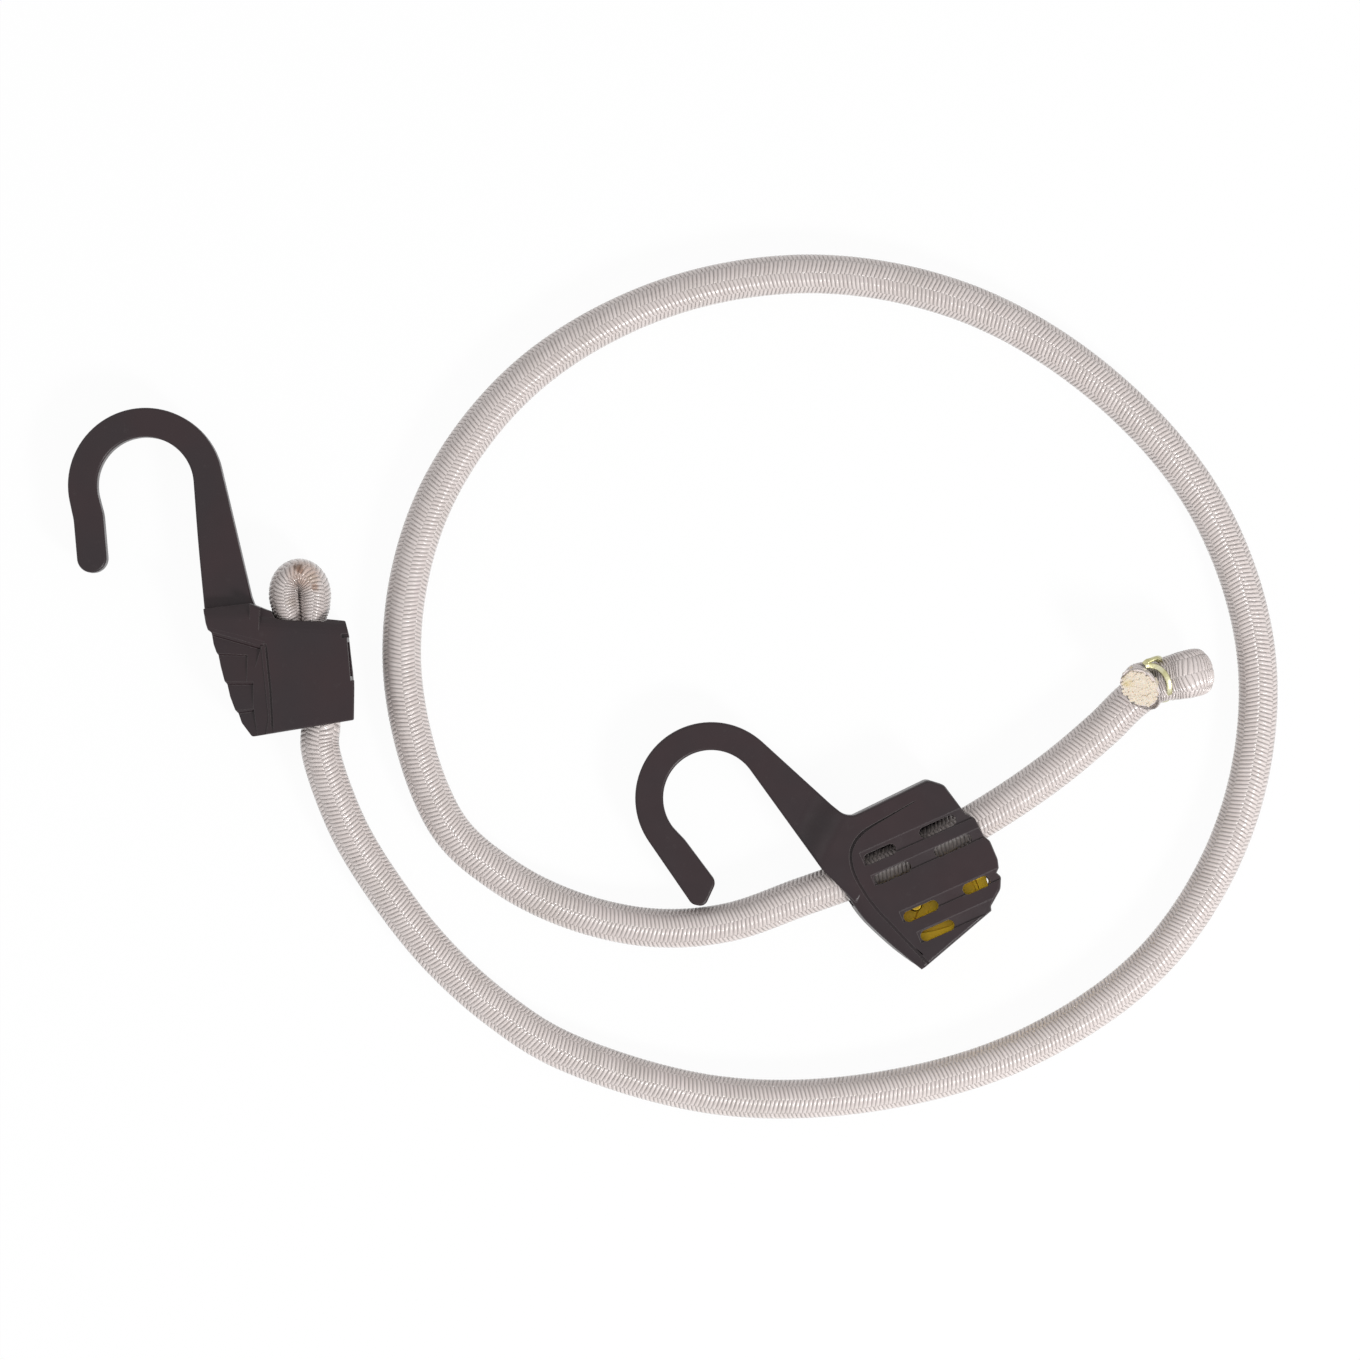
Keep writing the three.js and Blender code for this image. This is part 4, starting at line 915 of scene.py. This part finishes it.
def hook_outline(x, y, outer, inner, leave, leg, back, shank, throat, root, bow):
    """A J-shaped arm: root, shank, bend, and a leg that leaves the bend's arcs at two angles."""
    def tangent(place, radius):
        reach = math.hypot(place[0] - x, place[1] - y)
        return math.atan2(place[1] - y, place[0] - x) + math.acos(radius / reach)

    outer_arc = arc(x, y, outer, tangent(shank, outer), math.radians(leave))
    inner_arc = arc(x, y, inner, math.radians(back), tangent(throat, inner))
    last = inner_arc[-1]
    middle = ((last.x + throat[0]) / 2 - bow, (last.y + throat[1]) / 2)
    throat_line = smooth_outline([tuple(last), middle, throat], 6)[1:]
    return rounded([*outer_arc, *leg, *inner_arc, *throat_line, *root, shank])


# Black nylon, whose edges carry a painted highlight in a light grey.
black_nylon = worn_and_highlit_finish(
    "black_nylon", (0.0225, 0.0152, 0.0175), (0.027, 0.015, 0.0172), (0.045, 0.035, 0.036),
    (0.3, 0.44), 0.5, soft_edge=0.2, edge_highlight=(0.12, 0.105, 0.105), specular=0.3)

FIXED_WIDTH, FIXED_HEIGHT, FIXED_EDGE, FIXED_MOUTH = 36.0, 34.0, 0.9, 2.8
WALL_DRAFT, DRAFT_START, DRAFT_BLEND = 1.0, 5, 3
BORE, SLOT_LOW, SLOT_HALF_WIDE, SLOT_HALF_HIGH, SLOT_CORNER = 5.61, 13.35, 8.46, 6.6, 3.85
BORE_SIDES = 48
PANEL_EDGE, PANEL_DEPTH, STEP_DEPTH = 0.35, 0.65, 0.64
fixed_body_outline = rounded([
    (-26.3, 34.3), (-26.0, 30.6, 3), (-25.6, 29.0, 0.6), (-24.75, 28.3, 0.6), (-24.5, 25.4, 4),
    (-23.95, 23.3, 0.5), (-23.55, 22.6, 0.5), (-23.2, 19.6, 4), (-22.55, 16.0, 0.5),
    (-22.0, 15.2, 0.5), (-21.5, 11.9, 4), (-20.55, 8.6, 0.5), (-19.85, 7.7, 0.5),
    (-19.2, 5.2, 2), (-16.9, 1.55, 0.8), (8.75, 3.5, 0.45), (9.75, 13.3, 30), (9.45, 24.3, 20),
    (8.75, 28.3, 0.45), (0.1, 29.9, 30), (-6.2, 30.75, 12), (-10.2, 32.5, 12), (-14.6, 34.7),
])
fixed_arm_outline = hook_outline(
    x=-38.3, y=66.4, outer=19.35, inner=12.05, leave=187, back=189, bow=0.15,
    leg=[(-56.9, 59.3, 12), (-56.9, 45.8, 3.7), (-49.45, 45.8, 3.7), (-49.45, 60.0, 10)],
    shank=(-14.4, 36.4), throat=(-26.3, 34.4),
    root=[(-25.6, 28.9), (-7.9, 27.9), (-7.9, 30.6), (-13.7, 33.9, 2.5)],
)


def fixed_softness(point):
    """The notched grip and the window's side are less rounded than the rest."""
    return 0.4 if point.x > 4 else 0.6 if point.x < -16 and point.y < 30 else 1.0


def pocket_tools():
    """The bore for one strand at the mouth, which widens to a slot for two."""
    slot_x = LOOP_MIDDLE + 4.05
    turns = [2 * math.pi * k / BORE_SIDES for k in range(BORE_SIDES)]
    mouth = outward(new_piece("mouth", [
        (x + BORE * math.cos(turn), y, HOOK_LEVEL + high * math.sin(turn))
        for x, y, high in ((0, FIXED_MOUTH - PAST, BORE), (0, 4.2, BORE),
                           (slot_x, 13.95, LOOP_HIGH + 0.3), (slot_x, 14.5, 6.0))
        for turn in turns
    ], skin(4, BORE_SIDES)))
    slot = plate("slot", rounded([
        (LOOP_MIDDLE + x * SLOT_HALF_WIDE, y * SLOT_HALF_HIGH, SLOT_CORNER)
        for x, y in ((-1, -1), (1, -1), (1, 1), (-1, 1))
    ]), SLOT_LOW, FIXED_HEIGHT + PAST)
    slot.data.transform(Matrix.Translation((0, 0, HOOK_LEVEL)) @ Matrix(
        ((1, 0, 0, 0), (0, 0, 1, 0), (0, -1, 0, 0), (0, 0, 0, 1))))
    return [mouth, slot]


def face_tools():
    """What is cut out of the front face: lip, sunk grip panel and its steps, and the shank's ramp."""
    top = BODY_THICK
    edge = [(-30, 30.3), (-25.2, 28.55), (-21.5, 27.2), (-18.2, 26.0), (-14.8, 24.9), (-11.3, 24.2),
            (-11.2, 13.2), (-11.5, -2), (-30, -2)]
    floor = [(-30, 29.6), (-25.4, 28.0), (-21.6, 26.6), (-18.4, 25.3), (-15.0, 24.1), (-12.7, 23.4),
             (-12.5, 13.2), (-12.4, 5.5), (-14.5, -2), (-30, -2)]
    groove = [(-11.75, 23.2), (-11.2, 23.4), (-11.05, 13.2), (-11.35, 3.6), (-11.9, 3.6), (-11.6, 13.2)]
    tools = [plate("panel", vectors(outline), top - depth, ABOVE)
             for outline, depth in ((edge, PANEL_EDGE), (floor, PANEL_DEPTH))]
    steps = [((-25.4, 28.3), (-12.8, 23.5), 5.2), ((-24.4, 23.1), (-16.3, 22.2), 7.2),
             ((-23.4, 15.6), (-15.5, 14.9), 7.0), ((-21.6, 8.0), (-15.9, 8.3), 7.6)]
    for start, end, reach in steps:
        start, end = vectors((start, end))
        profile = [(0.55, top - 1.5), (reach * 0.5, top - 1.1), (reach, top - STEP_DEPTH),
                   (reach, ABOVE), (-0.4, ABOVE), (-0.4, top - STEP_DEPTH), (0.15, top - 0.9)]
        tools.append(bar(profile, start + (start - end).normalized() * 4, end))
    slope = [(-0.5, top), (0.75, top - 0.62), (0.75, ABOVE), (-0.5, ABOVE)]
    tools.append(bar(slope, (-28.0, 29.9), (-12.0, 24.45)))
    tools.append(plate("groove", vectors(groove), top - PANEL_DEPTH, ABOVE))
    fall = [(-3.4, top), (-2.4, top - 0.18), (-1.5, top - 0.55), (-0.7, top - 1.1), (0, top - 1.8),
            (PAST, top - 4), (PAST, ABOVE), (-3.4, ABOVE)]
    tools.append(bar(fall, (9.0, 28.1), (-12.0, 31.05), longer=1))
    turns = [math.pi * k / 16 for k in range(17)]
    ramp = [(-3.4 + 8.4 * turn / math.pi, ARM_HIGH + (top - ARM_HIGH) * (0.5 + 0.5 * math.cos(turn)))
            for turn in turns]
    ramp += [(5, ABOVE), (-3.4, ABOVE)]
    tools.append(bar(ramp, (-14.7127, 33.7849), (-28.2873, 34.6151)))
    return tools


fixed_hook = plate("moulded_fixed_hook", fixed_body_outline, 0, BODY_THICK, FIXED_EDGE, fixed_softness)
for vertex in fixed_hook.data.vertices:
    if vertex.co.x > DRAFT_START:
        lean = min((vertex.co.x - DRAFT_START) / DRAFT_BLEND, 1)
        vertex.co.x -= WALL_DRAFT * (1 - vertex.co.z / BODY_THICK) * lean
worked(fixed_hook, "DIFFERENCE", *pocket_tools())
front = face_tools()
worked(fixed_hook, "DIFFERENCE", *[mirrored(tool) for tool in front], *front)
worked(fixed_hook, "DIFFERENCE", block(8.75, SLOT_LOW, 3, FIXED_WIDTH, 24.1, ABOVE),
       block(1.65, 14.4, 4.1, FIXED_WIDTH, 23.0, 15.2),
       block(7.4, 24.1, BODY_THICK - 0.7, FIXED_WIDTH, 25.1, ABOVE))
fixed_arm = plate("fixed_arm", fixed_arm_outline, ARM_LOW, ARM_HIGH, ARM_EDGE)
worked(fixed_arm, "DIFFERENCE", *pocket_tools())
worked(fixed_hook, "UNION", fixed_arm)
finished(fixed_hook, FIXED_PLACE, black_nylon, CORD_BODY, CREASE)
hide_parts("fixed_hook")


# Sliding hook's front shell. Black nylon, open inside for the cord's channel and for the lever. Its
# face has a fine groove, four shallow troughs with seven vent slots, and a scalloped edge. The flat
# shank rises to the face in one smooth ramp.
CLAMP_PLACE = lying(*on_arc(-66, 0).xy, 24)
CLAMP_LENGTH, CLAMP_HEIGHT, CLAMP_EDGE, SHELL_WALL = 41.0, 42.0, 1.5, 2.2
PARTING, COVER_DEPTH, COVER_LIP, TRAVEL, SIDE_DRAFT = 4.8, 4.5, 0.3, 15.0, 0.9
CURVED_RIGHT, CURVED_TOP, CURVED_BLEND, BEYOND = -8, 12, 4, 60
PIVOT_X, PIVOT_Y, HUB_RADIUS, PIN_HOLE, PIN_REACH, BOSS = -3.0, -11.4, 3.4, 1.8, 6.8, 1.0
SLOT_RADIUS, REAR_SLOT_RADIUS, REAR_SLOT_DROP = 1.4, 0.95, 0.65
RAMP_STRIPS, RAMP_REACH, OUTLINE_STEPS = 40, 11.0, 4
GROOVE_DEPTH, GROOVE_HALF, GROOVE_POINTED, GROOVE_BLEND = 0.7, 0.36, 0.06, 12
INNER_ROOF = BODY_THICK - SHELL_WALL
scalloped_side = [
    (12.3, 15.85, 2.2), (15.6, 13.0, 2.4), (17.55, 4.3), (19.25, 2.3, 1.5), (19.5, -2.65),
    (20.4, -4.5, 2.0), (20.3, -9.4, 3.0), (19.65, -11.5, 0.6), (18.7, -12.35), (19.3, -13.7, 1.0),
    (17.9, -16.5, 3.0), (14.0, -19.4, 0.7), (13.65, -20.5),
]
back_shares = [(-0.2, -0.638), (-0.29, -0.5), (-0.366, -0.343), (-0.415, -0.217), (-0.454, -0.038),
               (-0.505, 0.143)]
slot_shares = [(-0.146, 0.088, 0.207), (0.243, 0.098, 0.241), (-0.122, -0.045, 0.241),
               (0.28, -0.04, 0.244), (-0.059, -0.319, 0.227), (0.312, -0.312, 0.178),
               (-0.015, -0.464, 0.22)]
face_line = [
    (7.3, 12.2), (0.5, 11.5), (-4.7, 10.95), (-7.9, 10.3), (-10.4, 9.1), (-12.6, 6.8), (-13.8, 2.7),
    (-13.6, -2.4), (-12.5, -7.8), (-10.6, -13.3), (-7.9, -21.0), (-5.6, -27.2),
]
trough_places = [(6.2, 2.55, -10.6), (-0.1, -3.0, -10.3), (-11.2, -14.2, -7.5), (-17.6, -20.7, -5.6)]


def in_clamp(shares):
    return [Vector((x * CLAMP_LENGTH, y * CLAMP_HEIGHT)) for x, y in shares]


def clamp_outline(lip):
    """The shells' outline, with its scalloped side; a lip widens it along the curved side."""
    back = smooth_outline(in_clamp(back_shares), OUTLINE_STEPS)
    return rounded([(-9.9, 15.1), *scalloped_side, (-7.0, -26.6), *shifted(back, -lip)])


def clamp_softness(point):
    """The curved side is broadly rounded, and the scalloped side and the foot are nearly sharp."""
    if point.x < CURVED_RIGHT and point.y < CURVED_TOP:
        return 2.3
    if point.y < -15 or point.y > CURVED_TOP:
        return 0.5
    return 0.3 if point.x > 15.5 and point.y < 8 else 1.0


def cavity(low, high):
    """The cord's channel, widened for the travel, and the lever's room below it."""
    def rise(x):
        return ARC_RADIUS - math.sqrt(ARC_RADIUS ** 2 - x ** 2)

    slack, reach = CORD_RADIUS + 0.6, CLAMP_LENGTH / 2 + PAST
    points = [
        Vector((x, max(rise(x), rise(x + TRAVEL)) + slack))
        for x in (-reach + 2 * reach * k / 16 for k in range(17))
    ]
    inside = shifted(in_clamp(back_shares), -SHELL_WALL)[:4]
    foot = inside[0] + (inside[0] - inside[1]).normalized() * PAST
    points += [Vector((reach, -CLAMP_HEIGHT)), Vector((foot.x, -CLAMP_HEIGHT)), foot, *inside]
    points += [Vector((inside[3].x, -slack)), Vector((-reach, -slack))]
    return plate("cavity", points, low, high)


def slot_tools(low, high, radius, drop=0.0):
    tools = []
    for x, y, length in slot_shares:
        reach = length * CLAMP_LENGTH / 2 - radius
        x, y = x * CLAMP_LENGTH, y * CLAMP_HEIGHT - drop
        outline = arc(x - reach, y, radius, math.pi / 2, 3 * math.pi / 2)
        outline += arc(x + reach, y, radius, -math.pi / 2, math.pi / 2)
        tools.append(plate("slot", outline, low, high))
    return tools


def ramped(piece, root, way, reach, rise):
    """Splits a flat arm across its length, and lifts its top smoothly towards the body."""
    ahead = Vector((-way.y, way.x, 0)).normalized()
    start = Vector((*root, 0))
    work = bmesh.new()
    work.from_mesh(piece.data)
    for k in range(RAMP_STRIPS + 1):
        everything = list(work.verts) + list(work.edges) + list(work.faces)
        bmesh.ops.bisect_plane(work, geom=everything, plane_co=start + ahead * reach * k / RAMP_STRIPS,
                               plane_no=ahead, dist=0.0001)
    for vertex in work.verts:
        along = (vertex.co - start).dot(ahead) / reach
        if vertex.co.z > HOOK_LEVEL and along < 1:
            vertex.co.z += rise * (0.5 + 0.5 * math.cos(math.pi * max(along, 0)))
    work.to_mesh(piece.data)
    work.free()


clamp_arm = plate("clamp_arm", hook_outline(
    x=-38.7, y=33.4, outer=19.0, inner=12.0, leave=191, back=193, bow=0,
    leg=[(-53.9, 11.2, 2.4), (-51.2, 9.3, 2.0), (-46.05, 13.8, 2.4), (-48.95, 26.6, 8), (-49.9, 29.2, 8)],
    shank=(-12, 19.8), throat=(-20.7, 6),
    root=[(-16.4, -5.0), (0, 4.2), (0, 15.2), (-9.6, 15.1, 4.9)],
), PARTING, ARM_HIGH, ARM_EDGE)
ramp_from, ramp_to = Vector((-20.7, 6.0)), Vector((-9.9, 15.1))
ramped(clamp_arm, (ramp_from + ramp_to) / 2, ramp_to - ramp_from, RAMP_REACH, BODY_THICK - ARM_HIGH)

front_shell = plate("moulded_front_shell", clamp_outline(0), 0, BODY_THICK, CLAMP_EDGE, clamp_softness)
for vertex in front_shell.data.vertices:
    if vertex.co.y < CURVED_TOP:
        lean = min(max((CURVED_RIGHT - vertex.co.x) / CURVED_BLEND, 0), 1)
        vertex.co.x += SIDE_DRAFT * lean * max(vertex.co.z - PARTING, 0) / (BODY_THICK - PARTING)
worked(front_shell, "DIFFERENCE", block(-BEYOND, -BEYOND, -PAST, BEYOND, BEYOND, PARTING))
worked(front_shell, "UNION", clamp_arm)
worked(front_shell, "DIFFERENCE", cavity(0, INNER_ROOF))
guide = in_clamp([(0.32, -0.13), (0.46, -0.13), (0.46, -0.165), (0.32, -0.165)])
worked(front_shell, "UNION", plate("guide", guide, PARTING, INNER_ROOF + 0.1),
       post(PIVOT_X, PIVOT_Y, HUB_RADIUS, INNER_ROOF - BOSS, BODY_THICK - 1.1))
trough_tools = []
for high_y, low_y, left in trough_places:
    reach, top = high_y - low_y, BODY_THICK
    profile = [(0, top), (0.3, top - 0.08), (reach, top - 0.42), (reach, ABOVE), (0, ABOVE)]
    trough_tools.append(bar(profile, (left, high_y), (30, high_y)))
face_curve = smooth_outline(face_line, OUTLINE_STEPS)
widths = [GROOVE_POINTED + (GROOVE_HALF - GROOVE_POINTED) * min(k / GROOVE_BLEND, 1)
          for k in range(len(face_curve))]
left_side, right_side = (
    [shifted(face_curve, hand * width)[k] for k, width in enumerate(widths)] for hand in (1, -1)
)
worked(front_shell, "DIFFERENCE",
       plate("groove", left_side + right_side[::-1], BODY_THICK - GROOVE_DEPTH, ABOVE),
       post(PIVOT_X, PIVOT_Y, PIN_HOLE, 0, HOOK_LEVEL + PIN_REACH), *trough_tools,
       *slot_tools(HOOK_LEVEL, ABOVE, SLOT_RADIUS))
finished(front_shell, CLAMP_PLACE, black_nylon, CLAMP_BODY, CREASE)
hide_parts("clamp_hook")


# Sliding hook's rear shell. A shallow tray of the same nylon, welded behind the front one, with the
# same slots. It stands a little proud along the curved side, where it shows as a thin dark line.
REAR_EDGE = 0.5
rear_shell = plate("moulded_rear_shell", clamp_outline(COVER_LIP), 0, BODY_THICK, REAR_EDGE)
worked(rear_shell, "DIFFERENCE", block(-BEYOND, -BEYOND, COVER_DEPTH, BEYOND, BEYOND, ABOVE))
worked(rear_shell, "DIFFERENCE", cavity(SHELL_WALL, BODY_THICK))
worked(rear_shell, "UNION", plate("guide", guide, SHELL_WALL / 2, COVER_DEPTH),
       post(PIVOT_X, PIVOT_Y, HUB_RADIUS, SHELL_WALL / 2, SHELL_WALL + BOSS))
worked(rear_shell, "DIFFERENCE", post(PIVOT_X, PIVOT_Y, PIN_HOLE, HOOK_LEVEL - PIN_REACH, HOOK_LEVEL),
       *slot_tools(-PAST, HOOK_LEVEL, REAR_SLOT_RADIUS, REAR_SLOT_DROP))
finished(rear_shell, CLAMP_PLACE, black_nylon, CLAMP_BODY, CREASE)
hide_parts("rear_cover")


# Cam lever. Golden yellow acetal, with saw teeth on its nose, a hub on the pin and a finger plate
# that is cored out on both faces. It shows through three of the slots and at the open corner.
LEVER_LENGTH, NOSE_RADIUS, NOSE_LENGTH = 19.2, 6.1, 9.0
TOOTH_PITCH, TOOTH_DEPTH, LEVER_LOW, POCKET, HUB_GAP = 1.5, 0.7, 2.5, 0.9, 0.3
LEVER_HIGH = BODY_THICK - LEVER_LOW
# Golden acetal, whose edges carry a painted highlight in the lighter scuff colour.
golden_acetal = worn_and_highlit_finish(
    "golden_acetal", (0.88, 0.54, 0.008), (0.92, 0.60, 0.012), (0.90, 0.66, 0.05),
    (0.33, 0.48), 0.35, soft_edge=0.2, specular=0.3)


def in_lever(shares):
    """Corners given as shares of the lever's length, with or without a fillet."""
    return [tuple(share * LEVER_LENGTH for share in corner) for corner in shares]


lever_corners = arc(0, 0, NOSE_RADIUS, math.radians(144), math.pi / 2)
for k in range(round(NOSE_LENGTH / TOOTH_PITCH)):
    lever_corners += [((k + 0.15) * TOOTH_PITCH, NOSE_RADIUS - TOOTH_DEPTH),
                      ((k + 1) * TOOTH_PITCH, NOSE_RADIUS)]
lever_corners.append((NOSE_LENGTH, NOSE_RADIUS - 2 * TOOTH_DEPTH))
lever_corners += in_lever([
    (0.62, 0.09, 0.18), (1, 0.09, 0.115), (0.93, -0.41, 0.115), (0.3, -0.56), (0.12, -0.545),
    (-0.115, -0.5), (-0.43, -0.28, 0.18), (-0.43, -0.04, 0.18),
])
cam_lever = plate("golden_cam_lever", rounded(lever_corners), LEVER_LOW, LEVER_HIGH)
pocket_tool = plate("pocket", rounded(in_lever([
    (0.12, -0.42, 0.05), (-0.14, -0.36, 0.05), (-0.3, -0.2, 0.05), (-0.2, -0.02), (0.3, 0.02, 0.05),
    (0.86, 0.0, 0.05), (0.82, -0.31, 0.05), (0.3, -0.44, 0.05),
])), LEVER_HIGH - POCKET, BODY_THICK)
worked(pocket_tool, "DIFFERENCE", post(0, 0, HUB_RADIUS, 0, BODY_THICK + 1),
       block(15.4, -9, 0, 16.0, 2, LEVER_HIGH - 0.3))
recess_tool = post(0, 0, HUB_RADIUS + HUB_GAP, LEVER_HIGH - BOSS - HUB_GAP, BODY_THICK)
mark_tool = plate("mark", vectors([(-3.3, -5.0), (-3.0, -5.2), (0.9, -1.0), (0.6, -0.8)]),
                  11.6, BODY_THICK)
worked(cam_lever, "DIFFERENCE", mirrored(pocket_tool), mirrored(recess_tool), pocket_tool, recess_tool,
       mark_tool, post(0, 0, PIN_HOLE, 0, BODY_THICK))
finished(cam_lever, CLAMP_PLACE @ Matrix.Translation((PIVOT_X, PIVOT_Y, 0)), golden_acetal,
         LEVER_BODY, CREASE)
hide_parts("cam_lever")


# Lever pin. A plain steel pin with rounded ends, held in the bosses of both shells. It has the same
# yellow zinc as the rings, but more golden and painted darker, as shade where it shows through the slot
# beside it.
PIN_RADIUS, PIN_LENGTH, PIN_EDGE, PIN_EDGE_STEPS, PIN_CREASE = 1.5, 13.0, 0.3, 4, 35.0
# Painted shade: a darker copy of the rings' zinc.
shaded_golden_zinc = worn_and_highlit_finish(
    "shaded_golden_zinc", (0.34, 0.22, 0.02), (0.42, 0.28, 0.04), (0.30, 0.22, 0.07), (0.45, 0.6), 0.3,
    metallic=1.0, scales=(("Cloud Scale", 500.0), ("Gloss Scale", 1400.0)))
lever_pin = plate("plated_lever_pin", circle(PIVOT_X, PIVOT_Y, PIN_RADIUS),
                  (BODY_THICK - PIN_LENGTH) / 2, (BODY_THICK + PIN_LENGTH) / 2, PIN_EDGE,
                  steps=PIN_EDGE_STEPS)
finished(lever_pin, CLAMP_PLACE, shaded_golden_zinc, CLAMP_BODY, PIN_CREASE)
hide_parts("lever_pin")
